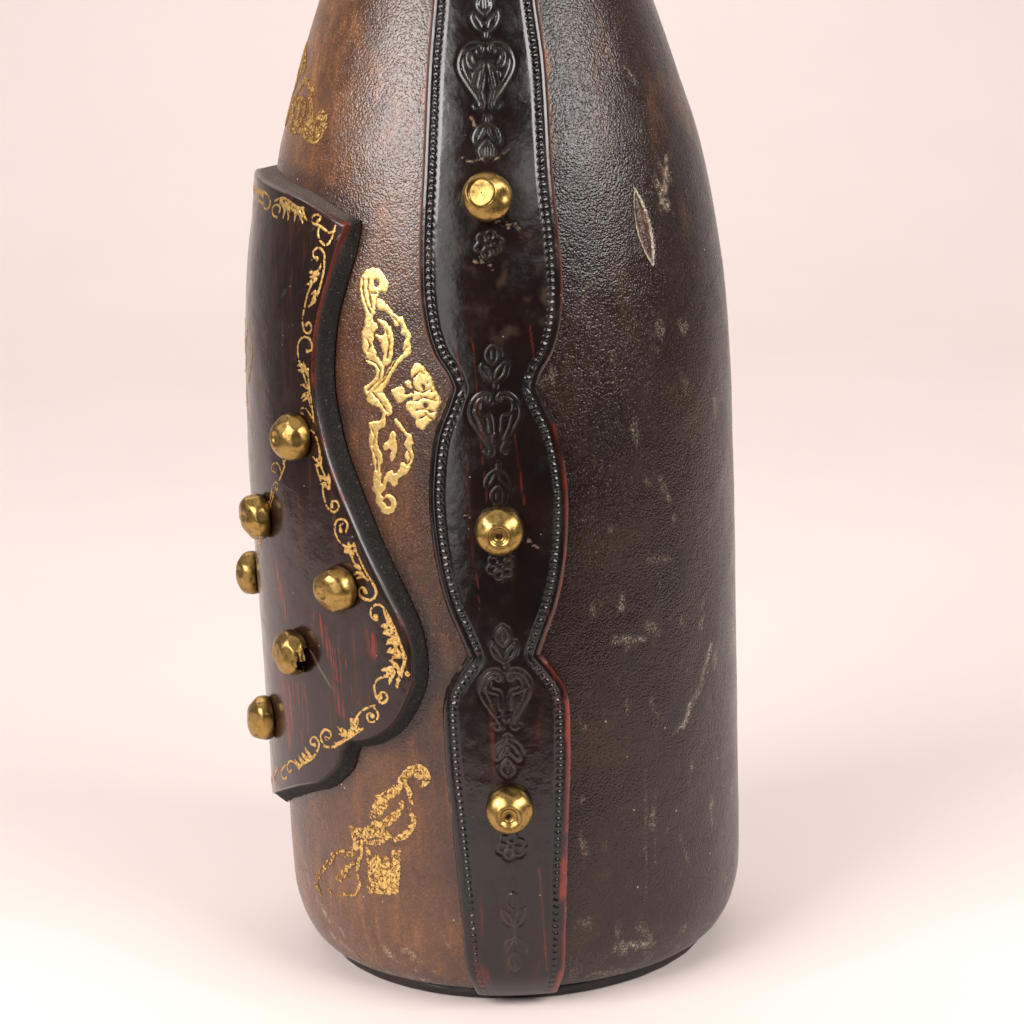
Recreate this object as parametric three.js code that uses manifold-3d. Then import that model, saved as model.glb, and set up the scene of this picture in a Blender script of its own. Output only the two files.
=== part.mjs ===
// Leather-covered carafe: a glass bottle in a two-piece leather cover, with a scalloped strap
// on each side, a studded leather shield on the front, a sole disc, a neck collar and a
// leather-capped cork stopper. Millimetres, +Z up, the sole's underside at z = 0, front at -Y.
import * as THREE from 'three';
import Module from 'manifold-3d';

const wasm = await Module();
wasm.setup();

// ---------- driving dimensions ----------
const SEGMENTS = 32; // facets of every layer around the bottle, so that the layers stay parallel
const GAP = 0.3; // clearance between neighbouring pieces
const COVER_T = 2.2; // leather of the cover
const STRAP_T = 2.2; // leather of the straps
const SHIELD_T = 3.4; // leather of the shield
const SHIELD_COLUMNS = 14;
const SHIELD_BEVEL = 2.0; // how far the shield's foot stands out beyond its face, all round
const GLASS_WALL = 3.4;
const SOLE_R = 39.4;
const SOLE_T = 2.4;
const COVER_TOP = 272;
const STRAP_TOP = 257.6;
const STRAP_END = 1.9; // lower end of a strap, over the edge of the sole
const MOUTH_Z = 302;
const BORE_R = 9.3;
const CORK_R = 9.0;
const CORK_TIP_R = 8.4;
const CORK_TIP_Z = 278;
const STUD_R = 4.45;
const STUD_H = 4.6;
const SHANK_R = 1.2;
const SHANK_HOLE_R = 1.5;

// Outer surface of the leather cover, [radius, height], from the hem under the heel to the top.
const COVER_OUTER = [
  [32, SOLE_T + GAP], [40.8, SOLE_T + GAP], [43.5, 5.5], [45.5, 10.8], [46.4, 19.5], [46.4, 92],
  [46, 118], [44.7, 138], [43.05, 150], [40.8, 161], [36.6, 174.8], [32.1, 188.6], [25, 210],
  [19.9, 232], [17.6, 254], [17.3, COVER_TOP],
];

// Half width of a strap along the surface, [height, half width].
const STRAP_HALF_WIDTH = [
  [0, 7.4], [3, 8.0], [6, 8.7], [10, 9.4], [24.6, 10.2], [38.7, 11.0], [52.4, 11.8], [59.4, 11.9],
  [64, 11.2], [68, 8.9], [71, 6.7], [74.5, 8.0], [79.8, 10.1], [86.4, 11.7], [93, 12.5],
  [99.5, 12.8], [106, 12.3], [112.6, 11.0], [117, 9.1], [120.2, 7.85], [122, 8.5], [126, 10.9],
  [132, 12.5], [138, 13.0], [144, 12.8], [157, 11.8], [175, 10.9], [188, 9.5], [210, 7.7],
  [235, 6.2], [275, 5.6],
];
const STRAP_STUDS = { upper: 153.05, middle: 94.75, lower: 42.2 };

// Outer face of the shield, [height, radius], and its half outline, [degrees from front, height].
const SHIELD_FACE = [
  [26, 49.8], [36, 49.7], [62, 49.9], [84, 50.3], [100, 50.5], [113, 50.2], [123, 49.9],
  [133, 49.2], [142.7, 48.1], [150, 47], [162, 45.8],
];
const SHIELD_HALF = [
  [0, 158], [11, 157.4], [22, 156.3], [32, 155.1], [41.7, 153.7], [56.9, 149.3], [54.7, 144.8],
  [51.9, 138.4], [49.5, 132], [48.3, 125.4], [48.3, 118.8], [50, 112.3], [52.3, 106],
  [57.7, 95.8], [60.9, 89.9], [64.7, 83.5], [67.8, 78.2], [69.6, 73.6], [70.1, 68.9],
  [69.4, 64.8], [66.4, 59.7], [62.7, 56.3], [57.9, 54.1], [52.2, 52.9], [50.5, 50.8],
  [48.4, 47.3], [42.5, 43.4], [38, 41.9], [33.2, 40.5], [27, 38.5], [21, 36.5], [15, 34.6],
  [10, 32.9], [5, 31.2], [0, 30],
];
const SHIELD_STUDS = [
  [0, 77], [25.4, 93.1], [-25.4, 93.1], [42.7, 110.4], [-42.7, 110.4], [17.5, 50.9],
  [-17.5, 50.9], [37.8, 68.5], [-37.8, 68.5], [53.6, 82.9], [-53.6, 82.9],
];

// ---------- materials ----------
const mat = (color, roughness, metalness = 0) =>
  new THREE.MeshStandardMaterial({ color: new THREE.Color(color), roughness, metalness });
const BROWN = mat('#4a2f1e', 0.5);
const DARK = mat('#2b1d17', 0.55);
const BLACK = mat('#1d110e', 0.3);
const SOLE = mat('#221713', 0.7);
const BRASS = mat('#a5842e', 0.35, 1);
const GLASS = new THREE.MeshStandardMaterial({
  color: new THREE.Color('#3d4a33'), roughness: 0.08, transparent: true, opacity: 0.5,
});
const CORK = mat('#b98f5e', 0.9);
const WOOD = mat('#6a4426', 0.6);

// ---------- helpers ----------
const group = new THREE.Group();
const RAD = Math.PI / 180;

const interp = (table, x, keyed = 0) => {
  const value = 1 - keyed;
  if (x <= table[0][keyed]) return table[0][value];
  for (let i = 1; i < table.length; i++) {
    const [a, b] = [table[i - 1], table[i]];
    if (x <= b[keyed]) {
      return a[value] + ((x - a[keyed]) / (b[keyed] - a[keyed])) * (b[value] - a[value]);
    }
  }
  return table[table.length - 1][value];
};
const coverR = (z) => interp(COVER_OUTER, z, 1);

// A profile moved outwards by d along its own normals.
const offset = (points, d) =>
  points.map(([r, z], i) => {
    const normals = [];
    for (const [a, b] of [[i - 1, i], [i, i + 1]]) {
      if (!points[a] || !points[b]) continue;
      const dr = points[b][0] - points[a][0];
      const dz = points[b][1] - points[a][1];
      const l = Math.hypot(dr, dz);
      normals.push([dz / l, -dr / l]);
    }
    const n = [0, 1].map((k) => normals.reduce((s, v) => s + v[k], 0) / normals.length);
    const l2 = n[0] * n[0] + n[1] * n[1];
    return [r + (d * n[0]) / l2, z + (d * n[1]) / l2];
  });

// A body of revolution about +Z from a profile that closes on itself or on the axis.
const revolve = (profile, segments = SEGMENTS) => {
  const points = profile.map(([r, z]) => new THREE.Vector2(r, z));
  const geometry = new THREE.LatheGeometry(points, segments);
  geometry.rotateX(Math.PI / 2);
  return geometry;
};
const ring = (profile, segments) => revolve([...profile, profile[0]], segments);

// Joins equal points, so that a geometry becomes one closed skin.
const solid = (geometry) => {
  const position = geometry.getAttribute('position');
  const index = geometry.index ? Array.from(geometry.index.array) : [...Array(position.count).keys()];
  const keys = new Map();
  const verts = [];
  const place = (i) => {
    const p = [position.getX(i), position.getY(i), position.getZ(i)].map((v) => Math.round(v * 1e4) / 1e4 + 0);
    const key = p.join();
    if (!keys.has(key)) {
      keys.set(key, verts.length / 3);
      verts.push(...p);
    }
    return keys.get(key);
  };
  const tris = [];
  for (let i = 0; i < index.length; i += 3) {
    const t = [place(index[i]), place(index[i + 1]), place(index[i + 2])];
    if (new Set(t).size === 3) tris.push(...t);
  }
  let volume = 0;
  const v = (i) => new THREE.Vector3(verts[3 * i], verts[3 * i + 1], verts[3 * i + 2]);
  for (let i = 0; i < tris.length; i += 3) {
    volume += v(tris[i]).dot(v(tris[i + 1]).cross(v(tris[i + 2])));
  }
  if (volume < 0) {
    for (let i = 0; i < tris.length; i += 3) [tris[i], tris[i + 1]] = [tris[i + 1], tris[i]];
  }
  return new wasm.Manifold(new wasm.Mesh({
    numProp: 3, vertProperties: Float32Array.from(verts), triVerts: Uint32Array.from(tris),
  }));
};

const meshOf = (name, body, material) => {
  const out = body.getMesh();
  const geometry = new THREE.BufferGeometry();
  const verts = new Float32Array((out.vertProperties.length / out.numProp) * 3);
  for (let i = 0; i < verts.length / 3; i++) {
    for (let k = 0; k < 3; k++) verts[3 * i + k] = out.vertProperties[out.numProp * i + k];
  }
  geometry.setAttribute('position', new THREE.BufferAttribute(verts, 3));
  geometry.setIndex(new THREE.BufferAttribute(Uint32Array.from(out.triVerts), 1));
  geometry.computeVertexNormals();
  const mesh = new THREE.Mesh(geometry, material.clone());
  mesh.name = name;
  group.add(mesh);
  return mesh;
};

// A wedge with radial walls: an outline of [degrees, height] drawn round the axis.
const wedge = (points, turn = 0) => {
  const drawn = points.map(([a, z]) => new THREE.Vector2(a, z));
  const outline = THREE.ShapeUtils.isClockWise(drawn) ? points.slice().reverse() : points;
  const contour = outline.map(([a, z]) => new THREE.Vector2(a, z));
  const faces = THREE.ShapeUtils.triangulateShape(contour, []);
  const n = outline.length;
  const rings = [() => 3, (z) => coverR(z) - 2, (z) => coverR(z) + 6, () => 260];
  const last = n * (rings.length - 1);
  const verts = [];
  for (const r of rings) {
    for (const [a, z] of outline) {
      verts.push(r(z) * Math.cos((a + turn) * RAD), r(z) * Math.sin((a + turn) * RAD), z);
    }
  }
  const index = [];
  for (const [a, b, c] of faces) {
    index.push(a, c, b, a + last, b + last, c + last);
  }
  for (let k = 0; k < last; k += n) {
    for (let i = 0; i < n; i++) {
      const j = (i + 1) % n;
      index.push(k + i, k + j, k + i + n, k + j, k + j + n, k + i + n);
    }
  }
  const geometry = new THREE.BufferGeometry();
  geometry.setAttribute('position', new THREE.Float32BufferAttribute(verts, 3));
  geometry.setIndex(index);
  return solid(geometry);
};

const box = (low, high) => {
  const geometry = new THREE.BoxGeometry(...[0, 1, 2].map((k) => high[k] - low[k]));
  geometry.translate(...[0, 1, 2].map((k) => (low[k] + high[k]) / 2));
  return solid(geometry);
};

// Places a shape made along +Z on a surface, with its own z = 0 at the given point.
const placed = (geometry, angle, r, z, tilt) => {
  const out = new THREE.Vector3(
    Math.cos(tilt) * Math.cos(angle * RAD), Math.cos(tilt) * Math.sin(angle * RAD), Math.sin(tilt),
  );
  const turn = new THREE.Quaternion().setFromUnitVectors(new THREE.Vector3(0, 0, 1), out);
  geometry.applyQuaternion(turn);
  geometry.translate(r * Math.cos(angle * RAD), r * Math.sin(angle * RAD), z);
  return geometry;
};

const shank = (r, length) => {
  const geometry = new THREE.CylinderGeometry(r, r, length, 10);
  geometry.rotateX(Math.PI / 2);
  return geometry;
};

// A hollow domed stud with a dished crown on a shank of the given depth.
const studGeometry = (depth) => revolve([
  [0, -depth], [SHANK_R, -depth], [SHANK_R, 3.5], [3.1, 2.9], [3.95, 0], [STUD_R, 0],
  [STUD_R - 0.1, 1.5], [STUD_R - 0.8, 3.4], [2.2, STUD_H], [0, STUD_H - 0.25],
], 10);

const slopeAt = (table, z, keyed) => {
  const [a, b] = [interp(table, z - 2, keyed), interp(table, z + 2, keyed)];
  return Math.atan2(a - b, 4);
};

// ---------- glass bottle ----------
const glassOuter = offset(COVER_OUTER, -(COVER_T + GAP));
const glassInner = offset(COVER_OUTER, -(COVER_T + GAP + GLASS_WALL));
const glassProfile = [
  [0, 21], [13, 18.2], [24, 10.8], [32, SOLE_T + 2 * GAP + COVER_T],
  ...glassOuter.slice(1, -1), [14.7, 275], [14.2, 283.2], [15.3, 285], [15.2, 294],
  [13.4, MOUTH_Z], [10, MOUTH_Z], [BORE_R, 301], [BORE_R, 259],
  [11.2, 242], [14.4, 228],
  ...glassInner.slice(4, 13).reverse(),
  [37.6, 11.2], [33.5, 10.4], [24, 18.0], [11, 25.2], [0, 26.4],
];
meshOf('glass_bottle', solid(revolve(glassProfile)), GLASS);

// ---------- leather cover in two halves, meeting under the straps ----------
const coverShell = solid(ring([...COVER_OUTER, ...offset(COVER_OUTER, -COVER_T).reverse()]));
meshOf('front_cover', coverShell.intersect(box([-100, -100, -10], [100, -GAP / 2, 400])), BROWN);
meshOf('back_cover', coverShell.intersect(box([-100, GAP / 2, -10], [100, 100, 400])), DARK);

// ---------- sole ----------
meshOf('base_sole', solid(revolve([
  [0, 0], [SOLE_R - 0.5, 0], [SOLE_R, 0.5], [SOLE_R, SOLE_T], [0, SOLE_T],
])), SOLE);

// ---------- straps ----------
const strapPath = [[39.0, -0.6], [41.2, 2.6], ...COVER_OUTER.slice(2, -1), [17.35, 268]];
const strapInner = offset(strapPath, GAP);
const strapOuter = offset(strapPath, GAP + STRAP_T);
const strapLayer = solid(ring([...strapOuter, ...strapInner.slice().reverse()]))
  .intersect(box([-100, -100, STRAP_END], [100, 100, STRAP_TOP]));
const strapOutline = [
  ...STRAP_HALF_WIDTH.map(([z, w]) => [w / coverR(Math.max(z, 10)) / RAD, z]),
  ...STRAP_HALF_WIDTH.slice().reverse().map(([z, w]) => [-w / coverR(Math.max(z, 10)) / RAD, z]),
];
for (const [side, turn] of [['right', 0], ['left', 180]]) {
  let strap = strapLayer.intersect(wedge(strapOutline, turn));
  for (const [level, z] of Object.entries(STRAP_STUDS)) {
    const tilt = slopeAt(COVER_OUTER, z, 1);
    const r = coverR(z) + (2 * GAP + STRAP_T) / Math.cos(tilt);
    strap = strap.subtract(solid(placed(shank(SHANK_HOLE_R, 12), turn, r, z, tilt)));
    meshOf(`${side}_strap_stud_${level}`, solid(placed(studGeometry(GAP + STRAP_T), turn, r, z, tilt)), BRASS);
  }
  meshOf(`${side}_strap`, strap, BLACK);
}

// ---------- shield ----------
// Rows run across the shield at each height of its outline, from edge to edge; the foot's
// rows are wider by the bevel. The first and last rows are single points.
const shieldRow = ([a, z], i, r) => {
  if (i === 0 || i === SHIELD_HALF.length - 1) return [[0, z, r]];
  return Array.from({ length: SHIELD_COLUMNS + 1 }, (_, j) => [a * ((2 * j) / SHIELD_COLUMNS - 1), z, r]);
};
const shieldFoot = SHIELD_HALF.map(([a, z], i) => {
  const [p, q] = [SHIELD_HALF[i - 1] ?? [-a - 5, z], SHIELD_HALF[i + 1] ?? [-a - 5, z]];
  const along = [(q[0] - p[0]) * RAD * coverR(z), q[1] - p[1]];
  const l = Math.hypot(...along);
  const out = i === 0 ? [0, 1] : i === SHIELD_HALF.length - 1 ? [0, -1] : [-along[1] / l, along[0] / l];
  return [a + (SHIELD_BEVEL * out[0]) / coverR(z) / RAD, z + SHIELD_BEVEL * out[1]];
});
const shieldBackR = (z) => {
  const slope = slopeAt(COVER_OUTER, z, 1);
  return Math.max(coverR(z) + (GAP + 0.2) / Math.cos(slope), interp(SHIELD_FACE, z) - SHIELD_T);
};
const faceRows = SHIELD_HALF.map((p, i) => shieldRow(p, i, interp(SHIELD_FACE, p[1])));
const backRows = shieldFoot.map((p, i) => shieldRow(p, i, shieldBackR(p[1])));
const shieldVerts = [];
const number = (rows) => rows.map((row) => row.map(([a, z, r]) => {
  shieldVerts.push(r * Math.cos((a - 90) * RAD), r * Math.sin((a - 90) * RAD), z);
  return shieldVerts.length / 3 - 1;
}));
const [faceIds, backIds] = [number(faceRows), number(backRows)];
const shieldTris = [];
const strip = (rows, flip) => {
  for (let i = 0; i + 1 < rows.length; i++) {
    for (let j = 0; j < SHIELD_COLUMNS; j++) {
      const at = (row, k) => (row.length === 1 ? row[0] : row[k]);
      const q = [at(rows[i], j), at(rows[i + 1], j), at(rows[i + 1], j + 1), at(rows[i], j + 1)];
      for (const t of [[q[0], q[1], q[2]], [q[0], q[2], q[3]]]) {
        if (new Set(t).size === 3) shieldTris.push(...(flip ? [t[0], t[2], t[1]] : t));
      }
    }
  }
};
strip(faceIds, false);
strip(backIds, true);
for (const [side, end] of [[0, false], [SHIELD_COLUMNS, true]]) {
  for (let i = 0; i + 1 < faceIds.length; i++) {
    const at = (row) => (row.length === 1 ? row[0] : row[side]);
    const q = [at(faceIds[i]), at(backIds[i]), at(backIds[i + 1]), at(faceIds[i + 1])];
    for (const t of [[q[0], q[1], q[2]], [q[0], q[2], q[3]]]) {
      shieldTris.push(...(end ? [t[0], t[2], t[1]] : t));
    }
  }
}
const shieldGeometry = new THREE.BufferGeometry();
shieldGeometry.setAttribute('position', new THREE.Float32BufferAttribute(shieldVerts, 3));
shieldGeometry.setIndex(shieldTris);
let shield = solid(shieldGeometry);
SHIELD_STUDS.forEach(([a, z], i) => {
  const tilt = slopeAt(SHIELD_FACE, z, 0);
  const r = interp(SHIELD_FACE, z) + GAP;
  shield = shield.subtract(solid(placed(shank(SHANK_HOLE_R, 14), a - 90, r, z, tilt)));
  const name = `shield_stud_${String(i + 1).padStart(2, '0')}`;
  meshOf(name, solid(placed(studGeometry(SHIELD_T - 0.2), a - 90, r, z, tilt)), BRASS);
});
meshOf('front_shield', shield, BLACK);

// ---------- neck collar ----------
meshOf('neck_collar', solid(ring([
  [17.75, STRAP_TOP + GAP], [20.0, STRAP_TOP + GAP], [20.5, STRAP_TOP + 2], [20.5, COVER_TOP - 2],
  [19.9, COVER_TOP], [17.6, COVER_TOP],
])), BLACK);

// ---------- stopper: cork, dowel, knob, leather cap, stud ----------
const CAP_BASE = MOUTH_Z + GAP;
meshOf('stopper_cork', solid(revolve([
  [0, CORK_TIP_Z], [CORK_TIP_R - 0.8, CORK_TIP_Z], [CORK_TIP_R, CORK_TIP_Z + 1], [CORK_R, MOUTH_Z],
  [2.3, MOUTH_Z], [2.3, 289.7], [0, 289.7],
], 16)), CORK);
meshOf('stopper_dowel', solid(revolve([[0, 290], [2, 290], [2, 314], [0, 314]], 12)), WOOD);
const knob = [[12.6, CAP_BASE], [14.4, 305], [14.9, 311], [13.8, 316.4], [10.6, 320], [5, 321.7], [0, 322]];
meshOf('stopper_knob', solid(revolve([
  [2.3, CAP_BASE], ...knob.slice(0, -1), [0, 322], [0, 314.3], [2.3, 314.3], [2.3, CAP_BASE],
], 16)), WOOD);
const capInner = [
  [13.0, CAP_BASE], [14.75, 304.9], [15.25, 311.1], [14.1, 316.7], [10.8, 320.35], [5.1, 322.05], [0, 322.35],
];
const capOuter = [
  [14.6, CAP_BASE], [16.7, 304.4], [17.3, 311.3], [16.0, 318], [12.0, 322.2], [5.4, 324.2], [0, 324.5],
];
const cap = solid(revolve([...capInner.slice().reverse(), ...capOuter], 16))
  .subtract(solid(placed(shank(SHANK_HOLE_R, 8), 0, 0, 324.5, Math.PI / 2)));
meshOf('stopper_cap', cap, BLACK);
meshOf('stopper_stud', solid(placed(studGeometry(2.3), 0, 0, 324.8, Math.PI / 2)), BRASS);

export default group;
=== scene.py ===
import math

import bpy
import numpy as np
from mathutils import Matrix


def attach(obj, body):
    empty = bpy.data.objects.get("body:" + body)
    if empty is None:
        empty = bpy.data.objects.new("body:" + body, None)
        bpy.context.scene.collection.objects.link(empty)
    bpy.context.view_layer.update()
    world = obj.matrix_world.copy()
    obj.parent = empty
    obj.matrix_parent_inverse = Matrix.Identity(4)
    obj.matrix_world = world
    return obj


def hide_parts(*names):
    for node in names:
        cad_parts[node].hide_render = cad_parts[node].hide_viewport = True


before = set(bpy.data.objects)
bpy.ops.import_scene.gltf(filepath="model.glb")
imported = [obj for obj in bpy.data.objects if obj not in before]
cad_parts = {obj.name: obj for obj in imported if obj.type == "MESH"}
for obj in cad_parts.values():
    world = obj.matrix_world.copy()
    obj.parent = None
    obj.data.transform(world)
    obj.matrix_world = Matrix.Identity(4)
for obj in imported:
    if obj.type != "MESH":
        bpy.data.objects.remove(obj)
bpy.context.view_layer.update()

MM = 0.001

# ------------------------------------------------------------------ numbers


def pchip(points, slopes="free"):
    """Monotone cubic through (x, y) points, straight beyond its ends."""
    xs = np.array([p[0] for p in points], float)
    ys = np.array([p[1] for p in points], float)
    h = np.diff(xs)
    d = np.diff(ys) / h
    m = np.zeros(len(xs))
    for k in range(1, len(xs) - 1):
        if d[k - 1] * d[k] > 0:
            a, b = 2 * h[k] + h[k - 1], h[k] + 2 * h[k - 1]
            m[k] = (a + b) / (a / d[k - 1] + b / d[k])
    m[0], m[-1] = d[0], d[-1]

    def f(x):
        x = np.asarray(x, float)
        k = np.clip(np.searchsorted(xs, x, side="right") - 1, 0, len(h) - 1)
        t = (x - xs[k]) / h[k]
        c = np.clip(t, 0, 1)
        c2, c3 = c * c, c * c * c
        y = (
            (2 * c3 - 3 * c2 + 1) * ys[k]
            + (c3 - 2 * c2 + c) * h[k] * m[k]
            + (3 * c2 - 2 * c3) * ys[k + 1]
            + (c3 - c2) * h[k] * m[k + 1]
        )
        return y + np.where(t < 0, t * h[k] * m[0], 0) + np.where(t > 1, (t - 1) * h[k] * m[-1], 0)

    return f


def smooth(a, b, x):
    t = np.clip((np.asarray(x, float) - a) / (b - a), 0, 1)
    return t * t * (3 - 2 * t)


def lattice(i, j, k, seed):
    u = np.uint64
    h = i.astype(np.int64).astype(u) * u(374761393) + j.astype(np.int64).astype(u) * u(668265263)
    h = (h + k.astype(np.int64).astype(u) * u(1440662683) + u(seed) * u(1013904223)) & u(0xFFFFFFFF)
    h = ((h ^ (h >> u(13))) * u(1274126177)) & u(0xFFFFFFFF)
    h = ((h ^ (h >> u(16))) * u(2246822519)) & u(0xFFFFFFFF)
    return (h ^ (h >> u(15))).astype(float) / 4294967295.0


def noise(p, size, seed=0):
    """Gradient noise of about -1 to 1, of the feature size given in millimetres."""
    q = np.asarray(p, float) / size
    i = np.floor(q)
    f = q - i
    w = f**3 * (f * (f * 6 - 15) + 10)
    i = i.astype(np.int64)
    out = 0
    for a in (0, 1):
        for b in (0, 1):
            for c in (0, 1):
                x, y, z = i[..., 0] + a, i[..., 1] + b, i[..., 2] + c
                g = (2 * lattice(x, y, z, seed * 3) - 1) * (f[..., 0] - a)
                g = g + (2 * lattice(x, y, z, seed * 3 + 1) - 1) * (f[..., 1] - b)
                g = g + (2 * lattice(x, y, z, seed * 3 + 2) - 1) * (f[..., 2] - c)
                k = (w[..., 0] if a else 1 - w[..., 0]) * (w[..., 1] if b else 1 - w[..., 1])
                out = out + g * k * (w[..., 2] if c else 1 - w[..., 2])
    return 1.7 * out


def fbm(p, size, seed=0, octaves=3):
    out, amp = 0, 1.0
    for k in range(octaves):
        out = out + amp * noise(p, size / 2**k, seed + 17 * k)
        amp *= 0.5
    return out / 1.75


def flat(x, y):
    """Points of a plane as noise coordinates."""
    x, y = np.broadcast_arrays(np.asarray(x, float), np.asarray(y, float))
    return np.stack([x, y, np.full(x.shape, 3.7)], -1)


def cells(x, y, size, seed=0):
    """Distance to the nearest of a jittered grid of points, in units of size, and a random number of that point."""
    x, y = np.asarray(x, float) / size, np.asarray(y, float) / size
    i, j = np.floor(x).astype(np.int64), np.floor(y).astype(np.int64)
    best, tag = np.full(x.shape, 9.0), np.zeros(x.shape)
    zero = np.zeros_like(i)
    for a in (-1, 0, 1):
        for b in (-1, 0, 1):
            px = i + a + 0.15 + 0.7 * lattice(i + a, j + b, zero, seed)
            py = j + b + 0.15 + 0.7 * lattice(i + a, j + b, zero + 1, seed)
            d = np.hypot(x - px, y - py)
            near = d < best
            best = np.where(near, d, best)
            tag = np.where(near, lattice(i + a, j + b, zero + 2, seed), tag)
    return best, tag


def curve(points, step=0.35):
    """A smooth line through points of any number of columns, as a denser list."""
    p = np.asarray(points, float)
    if len(p) < 3:
        return p
    q = np.vstack([2 * p[0] - p[1], p, 2 * p[-1] - p[-2]])
    out = []
    for k in range(1, len(q) - 2):
        n = max(2, int(np.ceil(np.hypot(*(q[k + 1, :2] - q[k, :2])) / step)))
        t = np.linspace(0, 1, n, endpoint=False)[:, None]
        a, b, c, d = q[k - 1], q[k], q[k + 1], q[k + 2]
        out.append(0.5 * (2 * b + (c - a) * t + (2 * a - 5 * b + 4 * c - d) * t**2 + (3 * b - a - 3 * c + d) * t**3))
    return np.vstack(out + [p[-1:]])


# ------------------------------------------------------------------ meshes


def quads(idx):
    return np.stack([idx[:-1, :-1], idx[:-1, 1:], idx[1:, 1:], idx[1:, :-1]], -1).reshape(-1, 4)


def shell(outer, inner, wrap=False, keep=None):
    """A closed skin between two grids of points; keep says which cells of the grid are there."""
    n, m = outer.shape[:2]
    idx = np.arange(n * m).reshape(n, m)
    if wrap:
        idx = np.hstack([idx, idx[:, :1]])
    rows, cols = idx.shape[0] - 1, idx.shape[1] - 1
    keep = np.ones((rows, cols), bool) if keep is None else keep
    a, b, c, d = idx[:-1, :-1], idx[:-1, 1:], idx[1:, 1:], idx[1:, :-1]
    off = n * m
    top = np.stack([a, b, c, d], -1)[keep]
    faces = [top, top[:, ::-1] + off]
    up = np.zeros_like(keep); up[1:] = keep[:-1]
    down = np.zeros_like(keep); down[:-1] = keep[1:]
    left = np.roll(keep, 1, 1) if wrap else np.pad(keep, ((0, 0), (1, 0)))[:, :-1]
    right = np.roll(keep, -1, 1) if wrap else np.pad(keep, ((0, 0), (0, 1)))[:, 1:]
    for other, p, q in ((up, a, b), (right, b, c), (down, c, d), (left, d, a)):
        w = keep & ~other
        p, q = p[w], q[w]
        faces.append(np.stack([q, p, p + off, q + off], -1))
    verts = np.vstack([outer.reshape(-1, 3), inner.reshape(-1, 3)])
    return verts, np.vstack(faces)


def skin(outer, inner, rows, cols):
    """A closed skin whose inner side has only the given rows and columns of its grid."""
    n, m = outer.shape[:2]
    rows, cols = np.unique(np.append(rows, [0, n - 1])), np.unique(np.append(cols, [0, m - 1]))
    idx = np.arange(n * m).reshape(n, m)
    sub = inner[np.ix_(rows, cols)]
    jdx = n * m + np.arange(sub.shape[0] * sub.shape[1]).reshape(sub.shape[:2])
    tris = []

    def stitch(near, far, at):
        for k in range(len(far) - 1):
            a, b = int(at[k]), int(at[k + 1])
            mid = (a + b) // 2
            for j in range(a, b):
                tris.append((near[j + 1], near[j], far[k] if j < mid else far[k + 1]))
            tris.append((near[mid], far[k], far[k + 1]))

    stitch(idx[0], jdx[0], cols)
    stitch(idx[:, -1], jdx[:, -1], rows)
    stitch(idx[-1, ::-1], jdx[-1, ::-1], (m - 1 - cols)[::-1])
    stitch(idx[::-1, 0], jdx[::-1, 0], (n - 1 - rows)[::-1])
    return np.vstack([outer.reshape(-1, 3), sub.reshape(-1, 3)]), np.vstack([quads(idx), quads(jdx)[:, ::-1]]), np.array(tris)


def spaced(x, gap):
    """Numbers of the entries of a rising list that lie at least gap apart."""
    out, last = [0], x[0]
    for i, v in enumerate(x):
        if v - last >= gap:
            out.append(i)
            last = v
    return np.array(out)


def lathe(profile, segments, wobble=None):
    """A closed solid of revolution from (r, z) points that start and end on the axis."""
    p = np.asarray(profile, float)
    ring = p[1:-1]
    t = np.linspace(0, 2 * np.pi, segments, endpoint=False)
    r, z = ring[:, :1] * np.ones_like(t), ring[:, 1:] * np.ones_like(t)
    pts = np.stack([r * np.cos(t), r * np.sin(t), z], -1)
    if wobble is not None:
        pts = wobble(pts)
    n, m = pts.shape[:2]
    idx = np.arange(n * m).reshape(n, m)
    idx = np.hstack([idx, idx[:, :1]])
    verts = np.vstack([pts.reshape(-1, 3), [[0, 0, p[0, 1]], [0, 0, p[-1, 1]]]])
    s, e = n * m, n * m + 1
    first = np.stack([np.full(m, s), idx[0, 1:], idx[0, :-1]], -1)
    last = np.stack([np.full(m, e), idx[-1, :-1], idx[-1, 1:]], -1)
    return verts, quads(idx), np.vstack([first, last])


def join(parts):
    """Several (verts, faces...) into one list of verts and of quads and of triangles, with a number for each part's faces."""
    verts, q4, q3, m4, m3, n = [], [], [], [], [], 0
    for number, (v, faces) in parts:
        verts.append(v)
        for f in faces:
            f = np.asarray(f)
            if f.shape[1] == 4:
                q4.append(f + n); m4.append(np.full(len(f), number))
            else:
                q3.append(f + n); m3.append(np.full(len(f), number))
        n += len(v)
    return verts, q4, q3, m4, m3


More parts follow.
